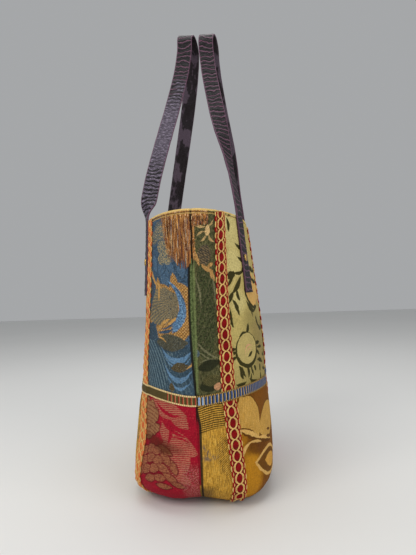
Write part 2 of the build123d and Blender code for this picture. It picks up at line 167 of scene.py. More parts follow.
class Wall:
    """The front or back wall. Share runs 0 to 1 along it from the -X side seam; up is millimetres
    of cloth above the ribbon's middle, below it negative."""

    def __init__(self, side):
        self.side = side
        self.heights = np.linspace(0, RIM_HEIGHT, WALL_ROWS + 1)
        turns = np.linspace(0, math.pi, 361)
        self.lengths, rows = [], []
        for z in self.heights:
            x, y = self.outline(z, turns, 0.0)
            run = np.concatenate([[0.0], np.cumsum(np.hypot(np.diff(x), np.diff(y)))])
            self.lengths.append(run[-1])
            rows.append(np.interp(np.linspace(0, run[-1], WALL_COLUMNS + 1), run, turns))
        self.turn_rows = np.array(rows)
        self.length = self.length_at(RIBBON_HEIGHT)
        self.seams = self.patch_seams()

    def length_at(self, z):
        return float(np.interp(z, self.heights, self.lengths))

    def outline(self, z, turn, inset):
        base = FRONT_SQUARENESS if self.side == FRONT else BACK_SQUARENESS
        power = between(RIM_SQUARENESS, base, np.clip(1 - z / RIM_HEIGHT, 0, 1) ** RISE_POWER)
        rise = (z - BELLY_HEIGHT) / (RIM_HEIGHT - BELLY_HEIGHT)
        width = between(BELLY_WIDTH, RIM_WIDTH, rise) / 2 - inset
        depth = (between(BELLY_DEPTH, RIM_DEPTH, np.maximum(rise, 0)) / 2
                 - self.side * FRONT_SWELL * np.sin(math.pi * z / RIM_HEIGHT) - inset)
        along, across = np.cos(turn), np.abs(np.sin(turn))
        reach = ((np.abs(along) / width) ** power + (across / depth) ** power) ** (-1 / power)
        x, y = -reach * along, self.side * reach * across
        drift = RIM_DRIFT * eased((x - DRIFT_FROM) / DRIFT_REACH)
        return x, y - drift * np.clip(z / RIM_HEIGHT, 0, None) ** RISE_POWER

    def turn_at(self, z, share):
        row = np.clip(z / RIM_HEIGHT * WALL_ROWS, 0, WALL_ROWS - 0.001)
        column = np.clip(share * WALL_COLUMNS, 0, WALL_COLUMNS - 0.001)
        i, j = row.astype(int), column.astype(int)
        a, b, t = row - i, column - j, self.turn_rows
        return between(between(t[i, j], t[i, j + 1], b),
                       between(t[i + 1, j], t[i + 1, j + 1], b), a)

    def from_seam(self, share):
        return np.minimum(share, 1 - share) * self.length_at(BELLY_HEIGHT)

    def ribbon(self, share):
        """The height of the ribbon's middle, which drops toward the side seams."""
        return RIBBON_HEIGHT + RIBBON_RISE * (1 - bell(self.from_seam(share), RIBBON_RISE_REACH))

    def bottom(self, share):
        """How far in and up the wall turns under, the arc's length and the lower row's."""
        nearest = self.from_seam(share)
        reach = bell(nearest, END_TURN_REACH)
        own = FRONT_TURN if self.side == FRONT else BACK_TURN
        corner = bell(nearest - BACK_CORNER_FROM_SEAM, BACK_CORNER_REACH) * (1 - reach)
        corner = corner * (self.side == BACK)
        turn_in = between(own[0], END_TURN[0], reach) + BACK_CORNER[0] * corner
        turn_up = between(own[1], END_TURN[1], reach) + BACK_CORNER[1] * corner
        arc = math.pi / 2 * np.sqrt((turn_in ** 2 + turn_up ** 2) / 2)
        return turn_in, turn_up, arc, arc + self.ribbon(share) - turn_up

    def level(self, share, up):
        """0 at the base, 1 at the ribbon and 2 at the rim."""
        ribbon = self.ribbon(share)
        return np.where(up > 0, 1 + up / (RIM_HEIGHT - ribbon), 1 + up / self.bottom(share)[3])

    def up(self, share, level):
        ribbon = self.ribbon(share)
        row = np.where(level > 1, RIM_HEIGHT - ribbon, self.bottom(share)[3])
        return (level - 1) * row

    def bare(self, share, level):
        """A point of the wall without its folds."""
        turn_in, turn_up, arc, row = self.bottom(share)
        climbed = level * row
        angle = np.minimum(climbed / arc, 1) * math.pi / 2
        low = turn_up * (1 - np.cos(angle)) + np.maximum(climbed - arc, 0)
        ribbon = self.ribbon(share)
        z = np.where(level > 1, between(ribbon, RIM_HEIGHT, level - 1), low)
        inset = np.where(level > 1, 0.0, turn_in * (1 - np.sin(angle)))
        x, y = self.outline(z, self.turn_at(z, share), inset)
        return np.stack([x, y, z], axis=-1)

    def fold(self, share, level):
        """The CAD part's own soft folds, with finer wrinkles on top."""
        ends = np.sin(math.pi * share)
        wave = np.sin(2 * math.pi * (WAVES_ACROSS * share + WAVE_LEAN * level / 2) + self.side)
        out = WAVE_DEPTH * wave * ends * np.sin(math.pi * level / 2) ** 2
        out = out - RIBBON_NIP * bell(level - 1, RIBBON_NIP_REACH)
        if self.side == BACK:
            away = DENT_FROM_SEAM - share * self.length_at(DENT_HEIGHT)
            drop = DENT_HEIGHT - self.bare(share, level)[..., 2]
            dent = np.exp(-(away ** 2 + drop ** 2) / DENT_RADIUS ** 2) * np.minimum(level * 3, 1)
            out = out - DENT_DEPTH * np.where(level < 1.5, dent, 0)
        return out + self.wrinkles(share, level)

    def wrinkles(self, share, level):
        """Wrinkles that are deepest low down and die out at the seams, with puckers by the
        braids."""
        cloth = bpy.context.scene.tote_cloth
        along, up = share * self.length, self.up(share, level)
        soft = sum(size * ruffled(along / wide, up / tall, 10 + self.side + seed)
                   for size, wide, tall, seed in WRINKLES)
        slack = 0.6 + 0.9 * bell(level - 0.4, 0.35)
        calm = eased(self.from_seam(share) / 12 + 0.15)
        calm = calm * eased((2 - level) * 8 + 0.1) * eased(level * 6)
        out = cloth.wrinkle / MM * soft * slack * calm
        for seam in self.seams:
            away = np.abs(share - seam(level)) * self.length - BRAID_WIDTH / 2
            ripple = np.sin(2 * math.pi * up / PUCKER_PITCH + 2 * ruffled(up / 17, along * 0, 5))
            fade = bell(np.maximum(away, 0), PUCKER_REACH)
            out = out + cloth.pucker / MM * ripple * fade * calm
        return out

    def outward(self, share, level):
        step = 0.004
        after, before = np.minimum(share + step, 1), np.maximum(share - step, 0)
        above, below = np.minimum(level + step, 2), np.maximum(level - step, 0)
        along = self.bare(after, level) - self.bare(before, level)
        rise = self.bare(share, above) - self.bare(share, below)
        return unit(np.cross(along, rise) * -self.side)

    def skin(self, share, level, out=0.0):
        """A point of the wall's outer face, or of a layer out from it."""
        share, level = np.broadcast_arrays(np.asarray(share, float), np.asarray(level, float))
        push = (out + self.fold(share, level))[..., None]
        return self.bare(share, level) + self.outward(share, level) * push

    def seam_line(self, at_rim, at_base, bow):
        rim, base = at_rim / self.length_at(RIM_HEIGHT), at_base / self.length_at(BELLY_HEIGHT)
        bowed = bow / self.length
        return lambda level: (between(base, rim, level / 2)
                              - bowed * np.sin(math.pi * (np.clip(level, 0, 2) / 2) ** RISE_POWER))

    def patch_seams(self):
        if self.side == FRONT:
            first = self.seam_line(SIDE_STRIP_AT_RIM, SIDE_STRIP_AT_BASE, SIDE_STRIP_BOW)
            return [first, lambda level: 0.5 + 0 * level, lambda level: 1 - first(level)]
        first = self.seam_line(BACK_PATCH_AT_RIM, BACK_PATCH_AT_BASE, BACK_PATCH_BOW)
        return [first, lambda level: 1 - first(level)]


# Meshes

def grid_faces(rows, columns, flip=False, start=0, closed=False):
    """Quads of a grid of points; closed joins the last column to the first."""
    r, c = np.meshgrid(np.arange(rows - 1), np.arange(columns if closed else columns - 1),
                       indexing="ij")
    right = (c + 1) % columns
    quads = np.stack([r * columns + c, r * columns + right, (r + 1) * columns + right,
                      (r + 1) * columns + c], axis=-1).reshape(-1, 4) + start
    return quads[:, ::-1] if flip else quads


def add_piece(name, points, faces, uv=None, shade=None, slot=None, nodes=()):
    """One finished piece in the root body. Points in millimetres of the CAD part before it was
    centred; uv and shade are one value for each point."""
    mesh = bpy.data.meshes.new(name)
    placed = (np.asarray(points).reshape(-1, 3) + (0, FOOTPRINT_SHIFT, 0)) * MM
    mesh.from_pydata(placed.tolist(), [], [list(face) for face in faces])
    corner = np.zeros(len(mesh.loops), dtype=np.int32)
    mesh.loops.foreach_get("vertex_index", corner)
    if uv is not None:
        weave = mesh.uv_layers.new(name="Weave")
        weave.data.foreach_set("uv", np.asarray(uv).reshape(-1, 2)[corner].ravel())
    if shade is not None:
        mesh.attributes.new("shade", "FLOAT", "POINT").data.foreach_set("value", np.ravel(shade))
    mesh.polygons.foreach_set("use_smooth", np.ones(len(mesh.polygons), dtype=bool))
    mesh.update()
    piece = bpy.data.objects.new(name, mesh)
    bpy.context.scene.collection.objects.link(piece)
    return finish_piece(piece, slot, nodes)


def finish_piece(piece, slot, nodes=()):
    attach(piece, "root")
    if slot:
        piece.data.materials.clear()
        piece.data.materials.append(material(slot))
    if nodes:
        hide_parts(*nodes)
    return piece


def closed_sheet(outer, inner, values, flip):
    """Points, faces and each point's values of a sheet between two grids, with a rounded edge."""
    rows, columns = outer.shape[:2]
    count = rows * columns
    index = np.arange(count).reshape(rows, columns)
    edge = np.concatenate([index[0, :-1], index[:-1, -1], index[-1, :0:-1], index[:0:-1, 0]])
    inside_index = index.copy()
    inside_index[0], inside_index[-1] = index[1], index[-2]
    inside_index[:, 0], inside_index[:, -1] = inside_index[:, 1].copy(), inside_index[:, -2].copy()
    flat_outer, flat_inner = outer.reshape(-1, 3), inner.reshape(-1, 3)
    thick = np.linalg.norm(flat_outer[edge] - flat_inner[edge], axis=1, keepdims=True)
    away = unit(flat_outer[edge] - flat_outer[inside_index.ravel()[edge]])
    middle = (flat_outer[edge] + flat_inner[edge]) / 2 + away * thick * 0.3
    points = np.concatenate([flat_outer, flat_inner, middle])
    n = len(edge)
    ring = 2 * count + np.arange(n)
    after = np.roll(np.arange(n), -1)
    bands = np.concatenate([np.stack([edge, ring, ring[after], edge[after]], axis=-1),
                            np.stack([ring, edge + count, edge[after] + count, ring[after]],
                                     axis=-1)])
    if flip:
        bands = bands[:, ::-1]
    faces = np.concatenate([grid_faces(rows, columns, flip),
                            grid_faces(rows, columns, not flip, start=count), bands])
    values = values.reshape(count, -1)
    return points, faces, np.concatenate([values, values, values[edge]])


def loft(sections, flip=False):
    """Points and faces of a closed tube through sections, each a ring of points, with flat ends."""
    rows, columns = sections.shape[:2]
    faces = [list(face) for face in grid_faces(rows, columns, flip, closed=True)]
    first, last = list(range(columns)), list(range((rows - 1) * columns, rows * columns))
    faces += [first[::-1], last] if not flip else [first, last[::-1]]
    return sections.reshape(-1, 3), faces


def tube(path, outward, radius, sides=6):
    """Sections of a round cord along a path, whose ends draw in."""
    along = unit(np.gradient(path, axis=0))
    across = unit(np.cross(along, outward))
    out = np.cross(across, along)
    angle = np.arange(sides) * 2 * math.pi / sides
    size = np.full(len(path), radius)
    size[0] = size[-1] = radius * 0.35
    ring = across[:, None] * np.cos(angle)[None, :, None] + out[:,
                                                                None] * np.sin(angle)[None, :, None]
    return path[:, None] + ring * size[:, None, None]


def join_lofts(parts):
    """Points and faces of several lofts as one mesh."""
    points, faces, start = [], [], 0
    for sections in parts:
        part_points, part_faces = loft(sections)
        points.append(part_points)
        faces += [[i + start for i in face] for face in part_faces]
        start += len(part_points)
    return np.concatenate(points), faces


# Cloth pieces

def patch_uv(wall, share, level):
    """Millimetres from the nearer side seam, and above the ribbon, for the weave's pattern."""
    return np.stack([np.minimum(share, 1 - share) * wall.length, wall.up(share, level)], axis=-1)


def wall_sheet(wall, left, right, low, high, out, thickness, step, node, slot, edge_sink=0.0):
    """A sheet of cloth on the wall between two lines of share and two levels. Its edges sink
    into the seams, and a sunk sheet that reaches the rim has a roll and a sewn groove there."""
    width = (right(1.0) - left(1.0)) * wall.length
    height = wall.up(MIDDLE_SHARE, high) - wall.up(MIDDLE_SHARE, low)
    columns, rows = int(width / step) + 2, int(height / step) + 2
    ups = np.linspace(wall.up(MIDDLE_SHARE, low), wall.up(MIDDLE_SHARE, high), rows)
    level = wall.level(MIDDLE_SHARE, ups)[:, None] * np.ones((1, columns))
    level[0], level[-1] = low, high
    part = np.linspace(0, 1, columns)[None]
    share = between(left(level), right(level), part)
    edge = np.minimum(part, 1 - part) * width
    sink = edge_sink * bell(edge, EDGE_SINK_REACH)
    if high == 2.0 and edge_sink:
        drop = (high - level) * (RIM_HEIGHT - RIBBON_HEIGHT)
        (roll, roll_drop, roll_reach), (groove, groove_drop, groove_reach) = RIM_ROLL, RIM_SEAM
        sink = sink - roll * bell(drop - roll_drop, roll_reach)
        sink = sink + groove * bell(drop - groove_drop, groove_reach)
    outer = wall.skin(share, level, out - sink)
    inner = wall.skin(share, level, out - thickness)
    below_rim = (2 - level) * (RIM_HEIGHT - wall.ribbon(share))
    values = np.concatenate([patch_uv(wall, share, level), below_rim[..., None]], axis=-1)
    points, faces, values = closed_sheet(outer, inner, values, wall.side == BACK)
    piece = add_piece(node + "_cloth", points, faces, values[:, :2], values[:, 2], slot, [node])
    width * MM
    height * MM


def build_patches(step):
    slots = {FRONT: {"lower": ("gold_brocade", "ochre_brocade", "crimson_brocade", "gold_brocade"),
                     "upper": ("green_brocade", "cream_brocade", "blue_brocade", "green_brocade")},
             BACK: {"lower": ("crimson_brocade", "gold_brocade", "crimson_brocade"),
                    "upper": ("blue_brocade", "cream_brocade", "green_brocade")}}
    gap = SEAM_GAP / 2
    row_gap = gap / (RIM_HEIGHT - RIBBON_HEIGHT)
    for side, wall in WALLS.items():
        edges = [lambda level: 0 * level, *wall.seams, lambda level: 1 + 0 * level]
        for row, (low, high) in {"lower": (0.0, 1 - row_gap), "upper": (1 + row_gap, 2.0)}.items():
            for number, (left, right) in enumerate(zip(edges, edges[1:]), start=1):
                node = f"{NAMES[side]}_{row}_patch_{number}"
                shift = gap / wall.length
                wall_sheet(wall, lambda level: left(level) + shift, lambda level: right(level)
                           - shift, low, high, 0.0, PATCH_THICKNESS, step, node,
                           slots[side][row][number - 1], PATCH_EDGE_SINK)


def build_lining(step):
    for side, wall in WALLS.items():
        shift = SEAM_GAP / 2 / wall.length
        wall_sheet(wall, lambda level: shift + 0 * level, lambda level: 1 - shift + 0 * level, 0.0,
                   2.0, -PATCH_THICKNESS - LINING_CLEARANCE, LINING_THICKNESS, step * 2,
                   f"lining_{NAMES[side]}", "lining_cloth")


def base_curve(margin):
    """The closed line where the walls meet the base, drawn in by a margin."""
    points = []
    for side in (FRONT, BACK):
        share = np.linspace(0, 1, 121)[:-1]
        if side == BACK:
            share = 1 - share
        foot = WALLS[side].bare(share, 0 * share)
        inwards = WALLS[side].outward(share, 0.5 + 0 * share)
        shift = unit(inwards * (1, 1, 0)) * margin
        points.append(foot - shift)
    return np.concatenate(points)


def build_base(thickness, low, name, node, slot):
    """A flat panel, as rings out over its lower face, round its edge and back over its top."""
    curve = base_curve(SEAM_GAP)
    middle = curve.mean(axis=0) * (1, 1, 0)
    rings = [0.02, *np.linspace(0.1, 0.94, 22), 0.985, 1.0, 1.0, 0.985, *np.linspace(0.94, 0.1, 22),
             0.02]
    half = len(rings) // 2
    heights = [0.0] * (half - 1) + [0.25, 0.75] + [1.0] * (half - 1)
    sections = np.array([between(middle, curve, t) * (1, 1, 0) + (0, 0, low + thickness * h)
                         for t, h in zip(rings, heights)])
    ruffle = 0.12 * ruffled(sections[:, :, 0] / 12, sections[:, :, 1] / 12, 8)
    sections[:, :, 2] += ruffle * (np.array(heights)[:, None] > 0.5)
    points, faces = loft(sections)
    piece = add_piece(name, points, faces, points[:, :2], slot=slot, nodes=[node])


# Trims

def over_braids(wall, share, level):
    """How far a ribbon lifts to cross the braids."""
    lift = 0.0 * share
    for seam in wall.seams:
        away = np.abs(share - seam(level)) * wall.length
        lift = np.maximum(lift, (BRAID_THICKNESS + TRIM_CLEARANCE)
                          * eased(1 - (away - BRAID_WIDTH / 2 - 1) / BRAID_MARGIN))
    return lift


def build_ribbons():
    half = [(0.2, 0.88), (0.5, 0.86), (0.8, 0.82), (0.9, 1.0), (0.99, 0.85), (1.03, 0.35),
            (1.0, 0.0), (0.5, 0.0)]
    profile = np.array([(-x, y) for x, y in half[-2::-1]] + [(0.0, 0.88)] + half + [(-0.5, 0.0)])
    across = profile[:, 0] * RIBBON_WIDTH / 2
    out = TRIM_CLEARANCE + profile[:, 1] * RIBBON_THICKNESS
    for side, wall in WALLS.items():
        end = SEAM_GAP / 2 / wall.length
        share = np.linspace(end, 1 - end, int(wall.length / 0.9))[:, None] + 0 * across
        level = wall.level(share, across + 0 * share)
        rib = 0.05 * np.sin(2 * math.pi * share * wall.length / 3.1) * (out > 0.9)
        sections = wall.skin(share, level, out + over_braids(wall, share, level) + rib)
        points, faces = loft(sections, side == FRONT)
        uv = np.stack([np.minimum(share, 1 - share) * wall.length, across + 0 * share], axis=-1)
        node, slot = f"ribbon_{NAMES[side]}", "blue_ribbon" if side == FRONT else "olive_ribbon"
        piece = add_piece(node + "_woven", points, faces, uv, slot=slot, nodes=[node])


def along_seam(wall, seam):
    """A function that finds a point out from the wall, millimetres up and aside of a seam, and
    the way outward there."""
    foot = float(seam(0.0))

    def place(up, aside, out):
        share = seam(wall.level(0 * up + foot, up)) + aside / wall.length
        level = np.clip(wall.level(share, up), 0, 2)
        return wall.skin(share, level, out), wall.outward(share, level)
    return place


def braid_tape(place, low, high, side):
    """Points, faces and uv of the flat tape that a braid's cords lie on."""
    ups = np.linspace(low, high, int((high - low) / 0.8))
    across = np.linspace(-BRAID_WIDTH / 2 + TAPE_MARGIN, BRAID_WIDTH / 2 - TAPE_MARGIN, 13)
    up_grid, across_grid = ups[:, None] + 0 * across, across + 0 * ups[:, None]
    ridges = (0.09 * np.cos(2 * math.pi * across_grid / 1.1)
              + 0.05 * np.cos(2 * math.pi * up_grid / 1.2))
    outer = place(up_grid, across_grid, TRIM_CLEARANCE + TAPE_THICKNESS + ridges)[0]
    inner = place(up_grid, across_grid, TRIM_CLEARANCE + 0 * up_grid)[0]
    return closed_sheet(outer, inner, np.stack([across_grid, up_grid], axis=-1), side == BACK)


def braid_cords(place, low, high, pitch, cord):
    """A braid's pale cords, which cross in loops, and its bold ones: wavy cords outside the
    loops and short lanes that pad the oval in each."""
    ups = np.linspace(low + 0.6, high - 0.5, int((high - low) / 0.6))
    phase = math.pi * ups / pitch
    swing = np.sign(np.sin(phase)) * np.abs(np.sin(phase)) ** 0.5
    pale, bold = [], []
    for hand in (-1, 1):
        for reach in LOOP_REACHES:
            rise = 1.0 + 0.34 * np.cos(phase + (0 if hand > 0 else math.pi))
            pale.append(tube(*place(ups, hand * swing * reach,
                                    TRIM_CLEARANCE + rise * 0.62 + 0.3), cord))
        aside = hand * (WAVE_PLACE + WAVE_SWING * np.cos(2 * phase))
        bold.append(tube(*place(ups, aside, TRIM_CLEARANCE + 0.7), cord * 1.9))
        aside = hand * (EDGE_PLACE - EDGE_SWING * np.cos(2 * phase))
        pale.append(tube(*place(ups, aside, TRIM_CLEARANCE + 0.72), cord * 1.35))
    run = np.linspace(-OVAL_HALF_LENGTH, OVAL_HALF_LENGTH, 9)
    middle = (math.ceil((low + 2) / pitch - 0.5) + 0.5) * pitch
    while middle < high - 3:
        for lane in OVAL_LANES:
            reach = math.sqrt(1 - (lane / OVAL_HALF_WIDTH) ** 2)
            rise = TRIM_CLEARANCE + 0.55 + 0.4 * reach + 0 * run
            bold.append(tube(*place(middle + run * reach, lane + 0 * run, rise), cord * 1.3,
                             sides=5))
        middle += pitch
    return pale, bold


def build_braids():
    """Gimp braids over the upright seams, each a tape and its cords."""
    trim = bpy.context.scene.tote_trim
    for side, wall in WALLS.items():
        slot = "red_braid" if side == FRONT else "orange_braid"
        for number, seam in enumerate(wall.seams, start=1):
            node = f"braid_{NAMES[side]}_{number}"
            place, foot = along_seam(wall, seam), np.array(float(seam(0.0)))
            arc, row = [float(length) for length in wall.bottom(foot)[2:]]
            low = -row + BRAID_FOOT * arc
            high = RIM_HEIGHT - float(wall.ribbon(foot)) - TRIM_CLEARANCE
            points, faces, uv = braid_tape(place, low, high, side)
            tape = add_piece(node + "_tape", points, faces, uv, slot=slot, nodes=[node])
            pale, bold = braid_cords(place, low, high, trim.pitch / MM, trim.cord / MM)
            for name, cords, colour in (("_loops", pale, "pale_cord"),
                                        ("_waves", bold, slot.replace("braid", "cord"))):
                piece = add_piece(node + name, *join_lofts(cords))
                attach(piece, "root")
                piece.data.materials.append(material(colour))


def build_stitches():
    """The stitched line just below the rim."""
    length = bpy.context.scene.tote_trim.stitch / MM
    stitches = []
    for wall in WALLS.values():
        rim_length = wall.length_at(RIM_HEIGHT)
        count = int(rim_length / (length + STITCH_GAP))
        for i in range(count):
            centre = (i + 0.5) / count
            run = np.linspace(-0.5, 0.5, 5) * length
            share = centre + run / rim_length
            drop = STITCH_DROP + 0.15 * math.sin(i * 1.7)
            level = 2 - drop / (RIM_HEIGHT - wall.ribbon(share))
            away = min(abs(centre - seam(2.0)) for seam in wall.seams) * wall.length
            if away < BRAID_WIDTH / 2 + 1:
                continue
            out = -0.3 + 0.4 * (1 - (run / length * 2) ** 2)
            stitches.append(tube(wall.skin(share, level, out), wall.outward(share, level),
                                 STITCH_RADIUS, sides=5))
    points, faces = join_lofts(stitches)
    piece = add_piece("rim_stitches", points, faces)
    piece.data.materials.append(material("pale_cord"))


def build_frayed_threads():
    """Loose warp threads where the weave has worn away beside the near side seam."""
    random = np.random.default_rng(21)
    rim = RIM_HEIGHT - RIBBON_HEIGHT - RIBBON_RISE
    threads, shades = [], []
    for _ in range(bpy.context.scene.tote_cloth.threads):
        side = BACK if random.uniform() < 0.68 else FRONT
        wall = WALLS[side]
        along = 1.2 + 33 * random.uniform() ** 1.2 if side == BACK else 1.0 + 19 * random.uniform()
        reach = 56 - 1.25 * max(along - 14, 0) - 1.4 * max(6 - along, 0) if side == BACK else 11
        top = rim - reach * 0.75 * random.uniform()
        long = min(reach - (rim - top), reach * random.uniform(0.2, 0.5))
        ups = np.linspace(top, top - max(long, 4), THREAD_POINTS)
        size, turns = random.uniform(0.15, 0.9), random.uniform(1, 4)
        sway = size * np.sin(np.linspace(0, turns, THREAD_POINTS) + random.uniform(0, 6))
        size, turns = random.uniform(0, 0.5), math.pi * random.uniform(0.6, 1.0)
        loose = 0.1 + size * np.sin(np.linspace(0, turns, THREAD_POINTS)) ** 2
        share = np.clip((along + sway) / wall.length, 0.003, 1)
        level = wall.level(share, ups)
        threads.append(tube(wall.skin(share, level, loose), wall.outward(share, level),
                            random.uniform(0.2, 0.42), THREAD_SIDES))
        shades.append(np.full(THREAD_POINTS * THREAD_SIDES, random.uniform()))
    points, faces = join_lofts(threads)
    piece = add_piece("frayed_warp_threads", points, faces, shade=np.concatenate(shades))
    piece.data.materials.append(material("loose_threads"))


# Straps and rivets

def strap_share(side):
    distance = FRONT_STRAP_FROM_SEAM if side == FRONT else BACK_STRAP_FROM_SEAM
    return distance / WALLS[side].length_at(RIM_HEIGHT)


def level_at(wall, share, z):
    return 1 + (z - wall.ribbon(share)) / (RIM_HEIGHT - wall.ribbon(share))


def tab_row(wall, share, z):
    """The strap's middle and the way across it where it lies on the wall, at heights z."""
    share = np.full(len(z), share)
    level = level_at(wall, share, z)
    half = STRAP_WIDTH / 2 / np.interp(z, wall.heights, wall.lengths)
    left, middle, right = [wall.skin(share + k * half, level, TRIM_CLEARANCE) for k in (-1, 0, 1)]
    return middle + wall.outward(share, level) * STRAP_THICKNESS / 2, unit(right - left)


def leg(side, share, step):
    """The strap's middle and the way across it from a tab's end up to its top loop."""
    wall = WALLS[side]
    z = np.linspace(RIM_HEIGHT - TAB_LENGTH, RIM_HEIGHT, int(TAB_LENGTH / step))
    centres, across = tab_row(wall, share, z)
    foot, side_way = centres[-1], across[-1]
    rising = unit(foot - tab_row(wall, share, np.array([RIM_HEIGHT - TAB_LENGTH / 10]))[0][0])
    end = -1 if share < 0.5 else 1
    loop_y = BACK_LOOP_Y if side == BACK else FRONT_LOOP_Y
    top = np.array([end * STRAP_LOOP_RADIUS, loop_y - end * LOOP_SKEW,
                    STRAP_TOP - STRAP_LOOP_RADIUS])
    low_pull, high_pull = foot + rising * LEG_EASE, top - (0, 0, LEG_EASE)
    start, length = BACK_TWIST if side == BACK else FRONT_TWIST
    t = np.linspace(0, 1, int(np.linalg.norm(top - foot) / step))[1:, None]
    run = (foot * (1 - t) ** 3 + low_pull * 3 * t * (1 - t) ** 2
           + high_pull * 3 * t * t * (1 - t) + top * t ** 3)
    turned = eased((run[:, 2:] - RIM_HEIGHT - start) / length)
    side_on = np.array([0, 1.0 if side_way[1] > 0 else -1.0, 0])
    return (np.concatenate([centres, run]),
            np.concatenate([across, unit(side_way * (1 - turned) + side_on * turned)]))


def build_straps(step=1.1):
    half, thick = STRAP_WIDTH / 2, STRAP_THICKNESS / 2
    for side in WALLS:
        share = strap_share(side)
        loop_y = BACK_LOOP_Y if side == BACK else FRONT_LOOP_Y
        angle = np.linspace(0, math.pi, int(math.pi * STRAP_LOOP_RADIUS / step))[1:-1]
        loop = np.stack([-STRAP_LOOP_RADIUS * np.cos(angle), loop_y + LOOP_SKEW * np.cos(angle),
                         STRAP_TOP - STRAP_LOOP_RADIUS * (1 - np.sin(angle))], axis=-1)
        near, far = leg(side, share, step), leg(side, 1 - share, step)
        centres = np.concatenate([near[0], loop, far[0][::-1]])
        across = np.concatenate([near[1], np.tile([0, 1.0, 0], (len(loop), 1)), far[1][::-1]])
        along = unit(np.gradient(centres, axis=0))
        across = unit(across - along * np.sum(across * along, axis=1, keepdims=True))
        for i in range(1, len(across)):
            if across[i] @ across[i - 1] < 0:
                across[i] = -across[i]
        out = np.cross(along, across) * side
        run = np.concatenate([[0], np.cumsum(np.linalg.norm(np.diff(centres, axis=0), axis=1))])
        edge = [(0.985, 0.72), (1.0, 0.25), (1.0, -0.25), (0.985, -0.72)]
        profile = ([(x, 1.0) for x in np.linspace(-0.94, 0.94, 21)] + edge
                   + [(x, -1.0) for x in np.linspace(0.94, -0.94, 9)] + [(-x, -y) for x, y in edge])
        x, y = np.array(profile).T * ((half,), (thick,))
        x_grid, run_grid = x[None] + 0 * run[:, None], run[:, None] + 0 * x[None]
        crease = (0.2 * ruffled(x_grid / 9, run_grid / 2.2, 31 + side, (40, 3))
                  + 0.1 * ruffled(x_grid / 3, run_grid / 1.3, 37 + side, (40, 9)))
        outer, back = y > 0.9 * thick, y < -0.9 * thick
        height = y[None] + (crease - 0.12) * outer
        wander = 0.12 * ruffled(run / 9, 0 * run, 41, (5, 40))[:, None]
        sections = (centres[:, None] + across[:, None] * (x[None] + wander)[..., None]
                    + out[:, None] * height[..., None])
        points, faces = loft(sections, side == FRONT)
        uv = np.stack([x_grid, run_grid + FRONT_STRAP_RUN * (side == FRONT)], axis=-1)
        shade = np.broadcast_to(np.where(outer, 0.0, np.where(back, 1.0, 0.5)), uv.shape[:2])
        piece = add_piece(f"strap_{NAMES[side]}_leather", points, faces, uv, shade,
                          slot="strap_leather", nodes=[f"strap_{NAMES[side]}"])


def round_part(radius, depth, low, rounding):
    """A short round part on the Z axis with softened edges, ready to join to others."""
    bpy.ops.object.select_all(action="DESELECT")
    bpy.ops.mesh.primitive_cylinder_add(vertices=40, radius=radius * MM, depth=depth * MM,
                                        location=(0, 0, (low + depth / 2) * MM))
    part = bpy.context.object
    bpy.ops.object.mode_set(mode="EDIT")
    bpy.ops.mesh.select_mode(type="EDGE")
    bpy.ops.mesh.select_all(action="DESELECT")
    bpy.ops.object.mode_set(mode="OBJECT")
    top = max(vertex.co.z for vertex in part.data.vertices)
    for edge in part.data.edges:
        edge.select = all(part.data.vertices[i].co.z > top - 1e-6 for i in edge.vertices)
    bpy.ops.object.mode_set(mode="EDIT")
    bpy.ops.mesh.bevel(offset=rounding * MM, segments=5)
    bpy.ops.object.mode_set(mode="OBJECT")
    bpy.ops.object.transform_apply(location=True, rotation=True, scale=True)
    return part


def build_rivets():
    """A head, shank and burr joined into one rivet, copied onto each strap tab."""
    reach = (TRIM_CLEARANCE * 2 + PATCH_THICKNESS + LINING_CLEARANCE + LINING_THICKNESS
             + BURR_THICKNESS)
    head_low = STRAP_THICKNESS + RIVET_CLEARANCE
    parts = [round_part(RIVET_HEAD_RADIUS, RIVET_HEAD_HEIGHT, head_low, RIVET_HEAD_ROUND),
             round_part(RIVET_SHANK_RADIUS, reach + STRAP_THICKNESS + 1.0, -reach, 0.2),
             round_part(BURR_RADIUS, BURR_THICKNESS, -reach, 0.25)]
    bpy.ops.object.select_all(action="DESELECT")
    for part in parts:
        part.select_set(True)
    bpy.context.view_layer.objects.active = parts[0]
    bpy.ops.object.join()
    model = bpy.context.object
    model.name = "rivet"
    bpy.ops.object.shade_smooth_by_angle(angle=math.radians(35))
    for side, wall in WALLS.items():
        for number, share in enumerate((strap_share(side), 1 - strap_share(side)), start=1):
            level = level_at(wall, share, RIM_HEIGHT - TAB_LENGTH + RIVET_ABOVE_TAB_END)
            seat = Vector(wall.skin(share, level, TRIM_CLEARANCE) + (0, FOOTPRINT_SHIFT, 0)) * MM
            outward = Vector(wall.outward(np.array(share), np.array(level)))
            turn = outward.to_track_quat("Z", "Y").to_matrix().to_4x4()
            rivet = bpy.data.objects.new(f"rivet_{NAMES[side]}_{number}_brass", model.data.copy())
            rivet.data.transform(Matrix.Translation(seat) @ turn)
            bpy.context.scene.collection.objects.link(rivet)
            finish_piece(rivet, "brass", [f"rivet_{NAMES[side]}_{number}"])
    bpy.data.objects.remove(model)


# Materials

def tone(red, green, blue):
    """A colour as seen, 0 to 255, as the renderer's linear values."""
    linear = [(c / 255 / 12.92) if c <= 10 else ((c / 255 + 0.055) / 1.055) ** 2.4
              for c in (red, green, blue)]
    return (*linear, 1.0)


SEAM_DARK, RIM_GOLD, RIM_GROOVE = (20, 16, 14), (222, 190, 116), (84, 56, 24)
CLOTH_SHINE, LEATHER_SHINE = 0.16, 0.25
CORD_TWIST = 0.0011


